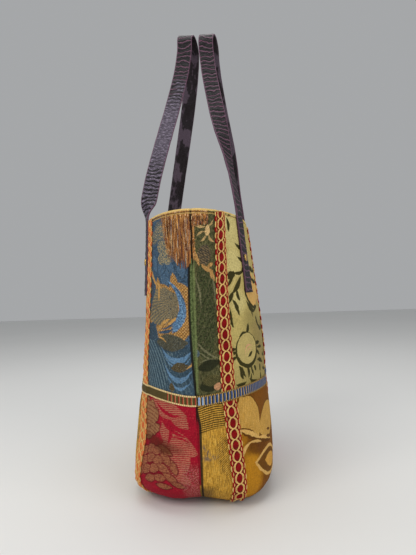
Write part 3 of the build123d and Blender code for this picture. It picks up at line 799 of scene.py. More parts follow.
class Value:
    """A socket that Python's operators do maths with; as a mask it runs from 0 to 1."""

    def __init__(self, shader, socket):
        self.shader, self.socket = shader, socket

    def maths(self, operation, *others, clamp=False):
        return self.shader.maths(operation, self, *others, clamp=clamp)

    def __add__(self, other):
        return self.maths("ADD", other)

    def __sub__(self, other):
        return self.maths("SUBTRACT", other)

    def __rsub__(self, other):
        return self.shader.maths("SUBTRACT", other, self)

    def __mul__(self, other):
        return self.maths("MULTIPLY", other)

    def __or__(self, other):
        return self.maths("MAXIMUM", other)

    def __abs__(self):
        return self.maths("ABSOLUTE")

    __radd__, __rmul__ = __add__, __mul__

    def below(self, edge, soft):
        """1 where the value is under the edge, 0 over it, over a soft width."""
        return self.maths("MULTIPLY_ADD", -1 / soft, 0.5 + edge / soft, clamp=True)

    def above(self, edge, soft):
        return self.maths("MULTIPLY_ADD", 1 / soft, 0.5 - edge / soft, clamp=True)

    def sine(self, pitch):
        return (self * (2 * math.pi / pitch)).maths("SINE")

    def waves(self, pitch, share, soft=0.5):
        """Stripes: 1 on a share of each pitch."""
        return self.sine(pitch).above(math.cos(math.pi * share), soft)


class Shader:
    """A procedural material. Its pattern is drawn on the coordinates at, of which u and v are
    the parts; on cloth they are millimetres. Colours are given as seen, 0 to 255."""

    def __init__(self, name, ground, roughness):
        self.material = bpy.data.materials.new(name + "_look")
        self.material.use_nodes = True
        self.tree = self.material.node_tree
        self.tree.nodes.clear()
        self.surface = self.tree.nodes.new("ShaderNodeBsdfPrincipled")
        output = self.tree.nodes.new("ShaderNodeOutputMaterial")
        self.tree.links.new(self.surface.outputs[0], output.inputs[0])
        self.feed("Roughness", roughness)
        self.colour = self.mix(0.0, tone(*ground), tone(*ground))
        self.height = None
        self.at = self.u = self.v = None

    def feed(self, name, value):
        """Set an input of the surface to a number or a value."""
        if isinstance(value, Value):
            self.tree.links.new(value.socket, self.surface.inputs[name])
        else:
            self.surface.inputs[name].default_value = value

    def node(self, kind, settings, values, output=0):
        node = self.tree.nodes.new(kind)
        for key, value in settings.items():
            setattr(node, key, value)
        for key, value in values.items():
            if isinstance(value, Value):
                self.tree.links.new(value.socket, node.inputs[key])
            else:
                node.inputs[key].default_value = value
        return Value(self, node.outputs[output])

    def maths(self, operation, *values, clamp=False):
        return self.node("ShaderNodeMath", {"operation": operation, "use_clamp": clamp},
                         dict(enumerate(values)))

    def mix(self, factor, a, b, blend="MIX"):
        return self.node("ShaderNodeMix", {"data_type": "RGBA", "blend_type": blend},
                         {0: factor, 6: a, 7: b}, 2)

    def paint(self, mask, colour):
        self.colour = self.mix(mask, self.colour, tone(*colour))

    def draw_on(self, at):
        self.at = at
        self.u, self.v = self.parts(at)
        return self.u, self.v

    def weave(self):
        """Draw on the cloth's own coordinates, from its uv map."""
        return self.draw_on(self.node("ShaderNodeUVMap", {"uv_map": "Weave"}, {}))

    def solid(self):
        """Draw on the piece's own coordinates, in metres."""
        return self.draw_on(self.node("ShaderNodeTexCoord", {}, {}, 3))

    def parts(self, vector, count=2):
        outputs = self.node("ShaderNodeSeparateXYZ", {}, {0: vector}).socket.node.outputs
        return [Value(self, output) for output in outputs[:count]]

    def vector(self, x, y, z=0.0):
        return self.node("ShaderNodeCombineXYZ", {}, {0: x, 1: y, 2: z})

    def noise(self, scale, detail=2.0, roughness=0.5, at=None):
        return self.node("ShaderNodeTexNoise", {},
                         {"Vector": at or self.at, "Scale": scale, "Detail": detail,
                          "Roughness": roughness})

    def streaks(self, x, y, detail=2.0, roughness=0.5):
        """Noise over x and y, which are scaled apart to draw it out into streaks."""
        return self.noise(1.0, detail, roughness, self.vector(x, y))

    def attribute(self, name):
        return self.node("ShaderNodeAttribute", {"attribute_name": name}, {}, 2)

    def frame_at(self, x, y, a, b, angle=0.0):
        """Coordinates in a frame centred on x, y, turned by degrees, and scaled by a and b."""
        return self.node("ShaderNodeMapping", {"vector_type": "TEXTURE"},
                         {0: self.at, 1: (x, y, 0.0), 2: (0.0, 0.0, math.radians(angle)),
                          3: (a, b, 1.0)})

    def turned(self, angle):
        """Coordinates turned by degrees about the origin, as two values."""
        return self.parts(self.frame_at(0, 0, 1, 1, angle))

    def reach(self, vector):
        return self.node("ShaderNodeVectorMath", {"operation": "LENGTH"}, {0: vector}, 1)

    def leaf_edge(self, x, y, a, b, angle=0.0):
        """Millimetres outside a pointed leaf, a long and b wide each way from its middle."""
        p, q = self.parts(self.frame_at(x, y, a, b, angle))
        return (abs(q) + p * p - 1.0) * b

    def blob_edge(self, x, y, a, b, angle=0.0):
        """Millimetres outside an ellipse."""
        return (self.reach(self.frame_at(x, y, a, b, angle)) - 1.0) * min(a, b)

    def stroke_edge(self, x0, y0, x1, y1, width, bend=0.0):
        """Millimetres outside a tapered brush stroke, bowed sideways by bend."""
        length = math.hypot(x1 - x0, y1 - y0) / 2
        angle = math.degrees(math.atan2(y1 - y0, x1 - x0))
        p, q = self.parts(self.frame_at((x0 + x1) / 2, (y0 + y1) / 2, length, 1.0, angle))
        bowed = q - (1.0 - p * p) * bend if bend else q
        return abs(bowed) + (width / 2) * p * p - width / 2

    def inside(self, edges, soft=0.6, grow=0.0):
        """The mask of everything inside any of the edges."""
        nearest, *others = edges
        for edge in others:
            nearest = nearest.maths("MINIMUM", edge)
        return nearest.below(grow, soft)

    def blobs(self, rows, soft=0.6, grow=0.0):
        return self.inside((self.blob_edge(*row) for row in rows), soft, grow)

    def leaves(self, rows, soft=0.6, grow=0.0):
        return self.inside((self.leaf_edge(*row) for row in rows), soft, grow)

    def strokes(self, rows, soft=0.6, grow=0.0):
        return self.inside((self.stroke_edge(*row) for row in rows), soft, grow)

    def outline(self, edge, width, soft=0.6):
        return abs(edge).below(width / 2, soft)

    def woven(self, warp=1.05, weft=0.8, contrast=0.6):
        """Threads over the painted pattern: ribs both ways, uneven yarns and soft mottling."""
        u, v = self.u, self.v
        ribs = u.sine(warp) * 0.5 + v.sine(weft) * 0.35
        yarns = self.streaks(u * (1.3 / warp), v * 0.14, 1.0)
        picks = self.streaks(u * 0.16, v * (1.2 / weft), 1.0)
        grain = self.noise(0.6, 3.0, 0.75)
        cloud = self.noise(0.07)
        light = (ribs * 0.13 + (yarns - 0.5) * 1.3 + (picks - 0.5) * 1.1 + (grain - 0.5) * 2.4
                 + (cloud - 0.5) * 0.7) * contrast + 1.0
        self.colour = self.mix(1.0, self.colour, self.vector(light, light, light), "MULTIPLY")
        self.height = ribs * 0.5 + grain * 0.9 + yarns * 0.6
        self.feed("Specular IOR Level", CLOTH_SHINE)
        return self

    def seamed(self, lean=0.0, shown=0.92):
        """The dark line at the side seam, and the gold fold with its groove under the rim."""
        self.paint(abs(self.u - lean).below(1.3, 0.8) * shown, SEAM_DARK)
        drop = self.attribute("shade") + (self.noise(0.35) - 0.5) * 1.8
        self.paint(drop.below(1.7, 0.8) * 0.85, RIM_GOLD)
        self.paint(abs(drop - 3.2).below(0.5, 0.7) * 0.75, RIM_GROOVE)
        self.paint(abs(drop - 4.4).below(0.5, 0.7) * 0.5, RIM_GOLD)
        return self

    def worn(self, mask):
        """Bare orange and brown warp threads where the pattern's weft has gone."""
        yarn = self.streaks(self.u * 1.1, self.v * 0.035, 2.0, 0.8)
        specks = self.streaks(self.u * 0.8, self.v * 0.22, 2.0, 0.7)
        self.paint(mask, (142, 92, 40))
        self.paint(mask * yarn.above(0.53, 0.06), (206, 150, 84))
        self.paint(mask * yarn.below(0.44, 0.06), (84, 46, 22))
        self.paint(mask * specks.above(0.6, 0.05), (222, 186, 150))
        self.paint(mask * specks.below(0.36, 0.05), (100, 42, 26))

    def finish(self, bump=0.5, distance=0.0004):
        self.feed("Base Color", self.colour)
        if self.height:
            self.feed("Normal",
                      self.node("ShaderNodeBump", {},
                                {"Strength": bump, "Distance": distance, "Height": self.height}))
        return self.material


def start_cloth(name, ground, span, roughness=0.85):
    """A new cloth, whose pattern repeats mirrored every span millimetres of width and has
    ragged edges, with the plain u and v, the folded u, and the ragged height up."""
    shader = Shader(name, ground, roughness)
    u, v = shader.weave()
    fold = u.maths("PINGPONG", span)
    wander, ragged = shader.noise(0.22) - 0.5, shader.noise(0.9) - 0.5
    shader.at = shader.vector(fold + wander * 2.2 + ragged * 1.4, v + wander * 1.8 - ragged * 1.2)
    return shader, u, v, fold, shader.parts(shader.at)[1]


def blue_brocade():
    blue, dark, pale = (60, 84, 106), (34, 46, 58), (92, 126, 156)
    gold, brown, grey = (190, 144, 78), (86, 72, 44), (104, 98, 80)
    shader, u, v, fold, up = start_cloth("blue_brocade", blue, 76)
    grain = shader.noise(0.5)
    spots = shader.noise(0.55, 3.0, 0.7)
    shader.paint(grain.below(0.45, 0.12) * 0.6, dark)
    petals = [shader.leaf_edge(*row) for row in ((29, 136, 13, 8, 62), (42, 138, 13, 8, 112),
                                                 (36, 127, 13, 9, 90), (13, 140, 13, 6, 80),
                                                 (58, 141, 12, 7, 60))]
    shader.paint(shader.inside(petals) * 0.8, (74, 100, 124))
    for edge in petals:
        shader.paint(shader.outline(edge, 1.3) * 0.55, dark)
    flower = shader.blobs(((33, 160, 7.5, 6), (43, 159, 8, 7), (37, 152, 9, 6), (32, 146, 6, 6),
                           (42, 145, 7, 5.5)), 1.5)
    haze = shader.blobs(((46, 176, 13, 9, 20), (62, 170, 12, 7)), 5)
    shader.paint(flower, (128, 122, 100))
    shader.paint(haze * 0.7, (112, 112, 96))
    bloom = flower | haze
    shader.paint(bloom * spots.above(0.52, 0.04), (56, 72, 84))
    shader.paint(bloom * spots.below(0.45, 0.04), (196, 170, 116))
    lattice_u, lattice_v = shader.turned(42)
    lattice = lattice_u.waves(2.4, 0.34, 0.6) | lattice_v.waves(2.4, 0.3, 0.6)
    ground = shader.blobs(((17, 92, 19, 31, 6), (20, 112, 10, 10), (36, 72, 18, 9, -20)), 1)
    ground = ground | shader.leaves(((22, 122, 11, 5, 84), (34, 114, 12, 4, 20),
                                     (48, 112, 14, 6, 80), (61, 79, 12, 6, 8)), 1)
    shader.paint(ground, gold)
    shader.paint(ground * lattice * 0.85, (112, 74, 36))
    fan = shader.leaves(((42, 94, 31, 19, -28), (36, 99, 23, 16, 30)), 0.8)
    rays_p, rays_q = shader.parts(shader.frame_at(12, 104, 1, 1, -16))
    rays = rays_q.maths("ARCTAN2", rays_p).waves(0.082, 0.42, 0.9)
    shader.paint(fan, grey)
    shader.paint(fan * rays * 0.85, (150, 128, 86))
    shader.paint(fan * spots.below(0.44, 0.06) * 0.7, (62, 72, 80))
    shader.paint(shader.blobs(((66, 112, 7.5, 12, 8),), 1.5), (64, 72, 82))
    shader.paint(shader.strokes(((75, 140, 47, 113, 4.0, 2), (47, 122, 46, 99, 4.2, 0),
                                 (40, 113, 54, 121, 3.2), (26, 84, 49, 67, 3.6, 1.5),
                                 (16, 87, 30, 76, 6.5, -1), (60, 34, 68, 14, 2.6, -2))), gold)
    crescent = shader.blobs(((36.5, 95, 28.5, 29),), 1) * (fold - (up - 95) * 0.1).below(27, 3)
    crescent = crescent * (1.0 - shader.blobs(((41.5, 98, 25.5, 26.5),), 1))
    shader.paint(crescent, (80, 114, 148))
    shader.paint(crescent * grain.above(0.52, 0.08) * 0.8, (120, 158, 190))
    shader.paint(crescent * spots.below(0.44, 0.06) * 0.8, (50, 70, 96))
    shader.paint(shader.strokes(((22, 74, 48, 66, 3.4, -2), (20, 84, 42, 70, 2.0, -3),
                                 (24, 119, 9, 100, 1.4, -3))), (52, 72, 94))
    low = (up + (fold - 38) * (fold - 38) * 0.004).below(60, 1.5)
    shader.paint(low, (52, 72, 86))
    bark = lattice_u.waves(1.9, 0.45, 0.8)
    petal = shader.leaves(((30, 57, 25, 9.5, -6), (60, 65, 13, 10, 10)), 0.8)
    shader.paint(shader.leaves(((60, 65, 13, 11, 10),), 0.8), (54, 76, 94))
    shader.paint(shader.leaves(((28, 58, 22, 9, -8),), 0.8), (82, 78, 60))
    shader.paint(petal * bark * 0.6, (50, 54, 52))
    veins = shader.reach(shader.frame_at(84, 2, 1, 1.25, -16)).waves(4.4, 0.38, 0.8)
    strands = (fold - up * 0.5 + (spots - 0.5) * 2).waves(5.2, 0.36, 0.8)
    comb = low * (fold + up * 0.3).above(38, 2) * (1.0 - petal)
    shader.paint(comb * veins * 0.85, (100, 122, 130))
    shader.paint(low * (fold + up * 0.3).below(38, 2) * up.below(22, 4) * strands * 0.4,
                 (92, 116, 128))
    shader.paint(shader.strokes(((2, 55, 42, 52, 7.5, -14), (2, 34, 37, 36, 6.0, -15),
                                 (4, 22, 33, 24, 3.4, -12), (3, 48, 40, 47, 2.2, -14))), pale)
    shader.paint(shader.leaves(((17, 34, 11, 5, -16), (27, 11, 5, 3.4, 90))), brown)
    shader.paint(shader.leaves(((17, 34, 11, 5, -16),)) * bark * 0.6, (56, 54, 44))
    shader.paint(shader.strokes(((3, 42, 10, 33, 1.8, -1.5), (33, 57, 48, 60, 2.0, 2))), gold)
    shader.paint(spots.below(0.41, 0.04) * 0.55, dark)
    shader.paint(spots.above(0.6, 0.04) * 0.4, (126, 138, 134))
    bare = (u + (206 - v) * 0.3 + (grain - 0.5) * 20).below(46, 6) * (v + (spots - 0.5)
                                                                      * 18).above(150, 10)
    bare = bare | (v + (spots - 0.5) * 14 - u * 0.02).above(191, 6) * 0.8
    shader.worn(bare)
    bow = v.sine(380) * 4.6
    side_strip = (u - bow).below(0.0, 0.8) * v.above(8, 2) * v.below(150, 5)
    shader.paint(side_strip, (96, 108, 66))
    shader.paint(side_strip * grain.above(0.52, 0.1), (62, 76, 40))
    return shader.woven(contrast=0.72).seamed(bow * v.below(150, 8)).finish()


def crimson_brocade():
    red, deep, tan = (150, 12, 36), (98, 12, 22), (150, 98, 70)
    shader, _, v, fold, up = start_cloth("crimson_brocade", red, 92)
    hatch_v = shader.turned(-12)[1]
    hatch = hatch_v.waves(1.9, 0.56, 0.8)
    field = shader.leaves(((36, -13, 26, 10, 8), (20, -20, 14, 8, 40), (22, -46, 24, 12, 24),
                           (26, -60, 18, 20, 0), (20, -64, 14, 12, 60), (37, -36, 13, 3.6, 84),
                           (20, -82, 14, 7, 30)), 1.0)
    shader.paint(field * hatch, (168, 106, 82))
    shader.paint(shader.strokes(((14, -17, 50, -8, 4.0, -5), (12, -38, 44, -20, 4.4, -4),
                                 (30, -26, 33, -50, 4.0, -3), (8, -44, 30, -42, 2.4, 3))), red)
    grain = shader.noise(0.5)
    rows = ((58, -20, 12, 9, 100), (68, -17, 13, 8, 70), (76, -26, 12, 7, 60), (62, -31, 14, 7, 20),
            (50, -24, 9, 5, 110), (73, -38, 12, 7, -30), (56, -41, 12, 5, -25),
            (66, -46, 12, 6, -20), (80, -46, 9, 6, 40), (49, -37, 8, 4, -40))
    peony = shader.inside((shader.leaf_edge(*row) for row in rows), grow=1.2)
    shader.paint(peony, deep)
    shader.paint(shader.leaves(rows), (148, 104, 68))
    shader.paint(peony * (shader.reach(shader.frame_at(64, -58, 1, 0.8)) + (grain - 0.5)
                          * 6).waves(5.2, 0.3) * 0.7, deep)
    rows = ((36, -57, 9, 3.6, 20), (47, -60, 9, 4, -24), (59, -61, 9, 4.4, -30),
            (70, -66, 10, 4.4, -34), (34, -66, 9, 4.2, 34), (45, -69, 9, 4.4, -20),
            (57, -70, 9, 4.4, -26), (68, -76, 10, 4.4, -34), (38, -76, 9, 4.2, 16),
            (50, -79, 9, 4.2, -24), (62, -83, 10, 4.4, -30), (26, -72, 8, 3.6, 66),
            (30, -84, 9, 4, 30), (42, -87, 9, 4, -12), (55, -91, 9, 4.4, -24),
            (74, -88, 10, 4.4, -36), (22, -92, 8, 3.4, 20), (38, -97, 9, 4, 0))
    edges = [shader.leaf_edge(*row) for row in rows]
    shader.paint(shader.inside(edges, grow=1.6) * 0.85, deep)
    petals = shader.inside(edges)
    shader.paint(petals, (158, 100, 66))
    shader.paint(petals * grain.above(0.54, 0.05) * 0.8, (120, 56, 44))
    shader.paint(petals * hatch * 0.35, deep)
    nearest = edges[0]
    for edge in edges[1:]:
        blend = abs(nearest - edge)
        shader.paint(blend.below(0.9, 0.6) * shader.inside((nearest, edge)) * 0.8, deep)
        nearest = nearest.maths("MINIMUM", edge)
    spots = shader.noise(0.6, 2.0, 0.6)
    corner = fold.below(17, 6) * up.below(-68, 8)
    shader.paint(corner * spots.above(0.52, 0.05) * 0.8, (164, 96, 92))
    shader.paint(corner * spots.below(0.42, 0.05) * 0.7, (112, 92, 58))
    shader.paint(spots.above(0.64, 0.04) * 0.3, tan)
    # painted shadow in the back wall's dent
    dent = shader.blobs(((47, -52, 26, 6, 4), (36, -55, 9, 6)), 5)
    shader.paint(dent * 0.75, (74, 28, 8))
    # painted shade: soft darkening toward the patch's far side, away from the near seam
    shader.paint(shader.blobs(((84, -60, 12, 60),), 14) * 0.45, (96, 20, 26))
    return shader.woven(contrast=0.55).seamed(shown=v.above(-22, 8) * 0.92).finish()


def green_brocade():
    green, dark, grey = (64, 64, 36), (42, 47, 26), (106, 104, 76)
    tan, orange = (176, 146, 96), (156, 112, 58)
    shader, u, v, fold, up = start_cloth("green_brocade", green, 40)
    grain = shader.noise(0.6, 3.0, 0.75, at=shader.vector(fold * 0.9, up * 0.4))
    spots = shader.noise(0.5, 3.0, 0.7)
    shader.paint(grain.above(0.5, 0.06) * 0.8, (98, 94, 62))
    shader.paint(spots.below(0.42, 0.06) * 0.7, (34, 42, 24))
    oval = shader.blobs(((13.5, 151, 8, 11, -10),), 1.5)
    shader.paint(oval, (78, 66, 50))
    shader.paint(oval * (up + fold * 0.7).waves(2.6, 0.45, 0.6), (118, 100, 70))
    shader.paint(oval * spots.below(0.46, 0.05), (42, 46, 44))
    lace = shader.strokes(((-3, 160, 8, 143, 5.0, 1), (5, 145, 24, 133, 5.2, -1.5),
                           (24, 142, 17, 138, 4, 0), (21, 136, 25, 122, 4.4, -1)))
    shader.paint(lace, orange)
    shader.paint(lace * (up - fold).waves(1.9, 0.4, 0.8) * 0.6, (200, 166, 110))
    shader.paint(shader.strokes(((17, 181, 3, 189, 3.4, 3), (17, 172, 10, 166, 2.6, 1),
                                 (20, 172, 27, 163, 2.8, -1.5), (19, 182, 20, 192, 2.4, 1),
                                 (21, 181, 27, 187, 2.4, -1), (16, 176, 6, 172, 2.2, -1.5))), tan)
    shader.paint(shader.blobs(((19, 176.5, 3.0, 5.6, -8),)), (206, 172, 118))
    frond = shader.leaves(((11, 88, 56, 12.5, 92), (13, 118, 22, 10, 100)), 1.4)
    shader.paint(frond, dark)
    shader.paint(frond * spots.above(0.51, 0.05) * 0.85, (72, 76, 44))
    shader.paint(frond * grain.above(0.56, 0.05) * 0.7, (94, 88, 64))
    shader.paint(frond * (fold * 0.7 - up * 0.5).waves(4.6, 0.24, 0.5) * 0.4, (72, 82, 50))
    shader.paint(shader.strokes(((-1, 66, 26, 40, 2.2, -2), (-1, 54, 26, 30, 1.6, 2),
                                 (4, 40, 26, 38, 2.0, 3), (22, 128, 25, 90, 2.6, 1),
                                 (2, 132, 8, 96, 2.0, 2))), grey)
    low = shader.leaves(((14, 36, 13, 6, 10), (15, 17, 12, 9, 20)), 1.2)
    shader.paint(low, (40, 42, 24))
    shader.paint(shader.blobs(((17, 20, 10, 6),)) * (up + fold * 1.2).waves(1.9, 0.4, 0.8),
                 (112, 104, 62))
    shader.paint(shader.blobs(((23, 12, 4.2, 3.8),)), (186, 138, 100))
    shader.paint(shader.blobs(((2, 50, 3, 4),)) * 0.7, (74, 96, 112))
    edge = (u + (grain - 0.5) * 5).below(2.4, 1.2) * up.below(146, 8) * up.above(8, 4)
    shader.paint(edge * 0.8, (112, 124, 76))
    bare = (v + (spots - 0.5) * 16).above(189, 3) * u.below(20, 3)
    bare = bare | (u + (spots - 0.5) * 8).below(3.5, 1.5) * v.above(150, 8)
    shader.worn(bare)
    return shader.woven(contrast=0.85).seamed(shown=v.above(140, 10) * 0.92).finish()


def cream_brocade():
    cream, olive = (184, 166, 100), (54, 50, 16)
    shader = start_cloth("cream_brocade", cream, 132, 0.8)[0]
    grain = shader.noise(0.4)
    # painted highlight: soft paler cream near the top, on the braid's side of the patch
    shader.paint(shader.blobs(((62, 176, 26, 22), (58, 140, 18, 16), (60, 96, 14, 12)), 10) * 0.75,
                 (206, 192, 128))
    # painted shade: the patch darkens toward its lower far side
    shader.paint(shader.blobs(((112, 30, 34, 60), (86, 74, 18, 14), (86, 12, 40, 14)), 12) * 0.6,
                 (128, 116, 66))
    shader.paint(grain.below(0.42, 0.1) * 0.3, (136, 120, 66))
    shader.paint(shader.blobs(((104, 107, 29, 22, -6),), 1), olive)
    shader.paint(shader.blobs(((106, 109, 28, 20.5, -6),), 1), (204, 162, 92))
    shader.paint(shader.blobs(((112, 60, 36, 12, 0), (112, 40, 30, 26)), 6) * 0.5, (140, 122, 74))
    rows = ((47, 193, 84, 196, 3.4, 1.5), (51, 188, 52, 174, 4.6, 1.5), (54, 190, 66, 196, 2.4, 1),
            (97, 184, 103, 192, 4.5, 0), (65, 160, 96, 160, 4.6, -4), (90, 159, 106, 165, 3.4, 1),
            (67, 145, 97, 146, 4.4, -3.5), (80, 149, 95, 149, 3, 0), (57, 127, 76, 129, 2.6, -1),
            (72, 128, 89, 137, 3.4, 1), (69, 123, 50, 106, 5.6, 1.5), (57, 109, 62, 97, 4.0, -1),
            (51, 107, 40, 95, 4.6, 0), (49, 98, 58, 81, 4.2, 1.5), (43, 90, 46, 70, 4.0, -1.5),
            (42, 114, 54, 128, 3.0, -1), (85, 123, 76, 102, 4.8, -1.5), (77, 95, 100, 83, 5.0, -3),
            (98, 83, 113, 89, 4.6, 1), (94, 131, 120, 119, 4.8, -1.5), (114, 120, 134, 118, 4.6, 0),
            (102, 134, 134, 131, 5.6, 1), (101, 77, 110, 65, 5.0, -1), (106, 66, 134, 60, 5.0, -1),
            (52, 52, 70, 61, 5.0, 2), (69, 60, 75, 70, 4.4, -1), (84, 92, 90, 78, 2.4, 1))
    shader.paint(shader.strokes(rows, 0.7, 0.8), olive)
    shader.paint(shader.leaves(((49, 125, 9, 4.6, 12),)), olive)
    shader.paint(shader.strokes(((44, 108, 60, 124, 3.0),)), (196, 178, 112))
    rows = ((40, 46, 47, 46, 2.6), (41, 42, 47, 42, 2.6), (41, 36, 47, 37, 2.6),
            (50, 27, 54, 18, 3.2, 1), (55, 24, 60, 14, 2.6, -1), (52, 20, 56, 12, 3.0),
            (64, 24, 66, 12, 3.6, 2), (68, 10, 84, 6, 3.4, -2), (46, 8, 60, 8, 3.4, -1.5),
            (73, 23, 77, 13, 2.6), (80, 23, 84, 17, 3.0), (72, 15, 70, 6, 2.4),
            (87, 47, 101, 47, 3.2), (88, 39, 98, 33, 3.0), (90, 28, 106, 23, 3.6, 1),
            (110, 31, 122, 30, 4.2), (97, 12, 99, 2, 3.2), (106, 16, 120, 13, 3.0),
            (92, 42, 108, 41, 2.4), (95, 22, 97, 14, 2.6))
    shader.paint(shader.strokes(rows, 0.7, 0.6), olive)
    shader.paint(shader.blobs(((68.3, 41.6, 22.4, 19.6),)), olive)
    shader.paint(shader.blobs(((68.5, 43.6, 19.6, 16.8),)), (182, 164, 102))
    shader.paint(shader.strokes(((62, 34, 81, 44, 2.2, 8), (66, 36, 78, 41, 1.4, 4))),
                 (204, 156, 116))
    shader.paint(shader.leaves(((73.5, 36.5, 6, 2.0, 24),)), olive)
    return shader.woven(contrast=0.4).seamed().finish()


def gold_brocade():
    gold, black = (190, 142, 48), (46, 34, 12)
    shader, u, v, fold, up = start_cloth("gold_brocade", gold, 44)
    cloud = shader.streaks(fold * 0.5, up * 0.14, 3.0, 0.65)
    streak = shader.streaks(fold * 1.2, up * 0.1, 2.0, 0.6)
    shader.paint(cloud.below(0.44, 0.1) * 0.6, (134, 98, 34))
    shader.paint(streak.above(0.55, 0.08) * 0.6, (214, 172, 80))
    shader.paint(streak.below(0.43, 0.06) * 0.5, (120, 88, 36))
    bend = shader.streaks(fold * 0.05, up * 0.05, 1.0)
    arcs = v - fold * 0.3 + fold * fold * 0.008 + bend * 4
    lines = arcs.waves(2.3, 0.5, 0.6)
    field = (v - fold * 0.12 + bend * 8).above(-30, 2)
    shader.paint(field * lines * 0.92, black)
    fine = shader.turned(34)[1].waves(1.9, 0.42, 0.7)
    shader.paint(shader.blobs(((29, -62, 9, 24, 8),), 4) * fine * 0.85, (84, 60, 26))
    shader.paint(shader.blobs(((8, -54, 4, 8, 20), (12, -60, 8, 3)), 2.5) * cloud.above(0.5, 0.05)
                 * 0.8, (78, 72, 74))
    shader.paint((u + cloud * 1.2).below(2.6, 0.6) * up.above(-92, 4) * up.below(-18, 3),
                 (138, 16, 32))
    shader.paint((up + cloud * 6).below(-92, 8) * fold.below(16, 8) * 0.6, (70, 50, 30))
    return shader.woven(warp=0.9, contrast=0.6).seamed(v.below(-18, 16) * 2.9).finish()


def ochre_brocade():
    ochre, petal, line = (118, 70, 8), (184, 140, 62), (206, 164, 92)
    shader, u, v = start_cloth("ochre_brocade", ochre, 134)[:3]
    shader.paint(shader.blobs(((58, -92, 16, 30, 0), (46, -66, 6, 26)), 9) * 0.9, (182, 126, 24))
    shader.paint(shader.blobs(((70, -62, 18, 9, -10),), 5) * 0.8, (96, 54, 4))
    halves = [shader.leaf_edge(*row) for row in ((61, -29, 27, 17, -62), (106, -42, 34, 19, 10))]
    halves.append(shader.blob_edge(56, -24, 17, 18, -40))
    shader.paint(shader.inside(halves, grow=1.4), (92, 54, 6))
    shader.paint(shader.inside(halves), petal)
    threads = shader.streaks(u * 1.2, v * 0.09, 2.0, 0.7)
    shader.paint(shader.inside(halves) * threads.above(0.52, 0.08) * 0.6, (204, 164, 88))
    shader.paint(shader.strokes(((42, -37, 74, -58, 9, 1), (70, -56, 108, -68, 8.0, 2))),
                 (92, 54, 6))
    shader.paint(shader.strokes(((42, -38, 76, -56, 5.0, 1), (70, -54, 110, -67, 4.4, 2),
                                 (47, -74, 60, -55, 4.4, 5), (55, -55, 78, -60, 3.0, 1))), line)
    shader.paint(shader.strokes(((92, -58, 110, -62, 4, -1), (96, -52, 112, -56, 3, 0))),
                 (96, 58, 8))
    leaf = shader.leaf_edge(98, -86, 34, 15, -12)
    shader.paint(leaf.below(0, 0.6), (104, 64, 8))
    shader.paint(shader.outline(leaf, 3.6), line)
    shader.paint(shader.leaves(((102, -87, 20, 8, -16),)), (200, 148, 62))
    return shader.woven(contrast=0.45).seamed().finish()


def blue_ribbon():
    shader = Shader("blue_ribbon", (58, 84, 128), 0.66)
    u, v = shader.weave()
    run = u + (shader.noise(0.9, 1.0) - 0.5) * 0.5
    shader.paint(u.above(58, 14), (64, 82, 118))
    shader.paint(u.below(9, 2), (132, 158, 192))
    stripes = 1.0 - u.above(66, 16) * 0.6
    shader.paint(run.waves(3.9, 0.36, 0.4) * stripes, (22, 20, 22))
    shader.paint((run + 1.0).waves(3.9, 0.2, 0.4) * stripes, (206, 170, 98))
    edge = abs(v)
    shader.paint(edge.above(4.2, 0.4), (176, 142, 76))
    shader.paint(edge.above(4.2, 0.4) * run.waves(1.95, 0.46, 0.5), (30, 24, 20))
    return shader.woven(warp=0.8, weft=0.55, contrast=0.4).finish()


def olive_ribbon():
    shader = Shader("olive_ribbon", (82, 68, 32), 0.66)
    u, v = shader.weave()
    run = u + (shader.noise(0.9, 1.0) - 0.5) * 0.6
    reds = u.below(34, 4)
    shader.paint(u.waves(1.9, 0.4, 0.8) * 0.35, (48, 42, 20))
    shader.paint(run.waves(4.4, 0.22, 0.3) * reds, (168, 30, 34))
    shader.paint((run + 0.8).waves(4.4, 0.12, 0.3) * reds * 0.8, (210, 180, 116))
    edge = abs(v)
    shader.paint(edge.above(4.0, 0.5), (226, 200, 142))
    shader.paint(edge.above(4.0, 0.5) * run.waves(2.2, 0.3, 0.5) * 0.7, (140, 84, 48))
    return shader.woven(warp=0.8, weft=0.55, contrast=0.4).finish()


def corded(name, ground, dark):
    """Twisted yarn or a trim's tape, on the piece's own coordinates."""
    shader = Shader(name, ground, 0.78)
    shader.solid()
    x, y, z = shader.parts(shader.at, 3)
    twist = (z + (x + y) * 0.7).sine(CORD_TWIST)
    fuzz = shader.noise(900.0, 2.0, 0.6)
    shader.paint((twist + (fuzz - 0.5) * 2).above(0.1, 1.4) * 0.55, dark)
    shader.paint(shader.noise(60.0).below(0.42, 0.1) * 0.3, dark)
    shader.height = twist * 0.5 + fuzz
    shader.feed("Specular IOR Level", CLOTH_SHINE)
    return shader.finish(0.5, 0.0003)


def plain_cloth(name, ground, dark):
    shader = Shader(name, ground, 0.85)
    u, v = shader.weave()
    shader.paint((u + v).waves(1.4, 0.4, 0.9) * 0.5, dark)
    return shader.woven(contrast=0.4).finish()


def loose_threads():
    shader = Shader("loose_threads", (168, 116, 62), 0.8)
    ramp = shader.tree.nodes.new("ShaderNodeValToRGB")
    stops = ((0.0, (88, 48, 24)), (0.24, (150, 92, 38)), (0.46, (192, 128, 58)),
             (0.66, (214, 178, 128)), (0.77, (134, 74, 36)), (0.93, (108, 78, 88)),
             (0.97, (214, 194, 170)))
    ramp.color_ramp.interpolation = "CONSTANT"
    for place, colour in stops[1:]:
        ramp.color_ramp.elements.new(place).color = tone(*colour)
    ramp.color_ramp.elements[0].color = tone(*stops[0][1])
    shader.tree.links.new(shader.attribute("shade").socket, ramp.inputs[0])
    shader.colour = Value(shader, ramp.outputs[0])
    shader.solid()
    fuzz = shader.noise(800.0, 2.0, 0.6)
    shader.paint(fuzz.above(0.55, 0.2) * 0.4, (70, 42, 26))
    shader.height = fuzz
    return shader.finish(0.3, 0.0002)


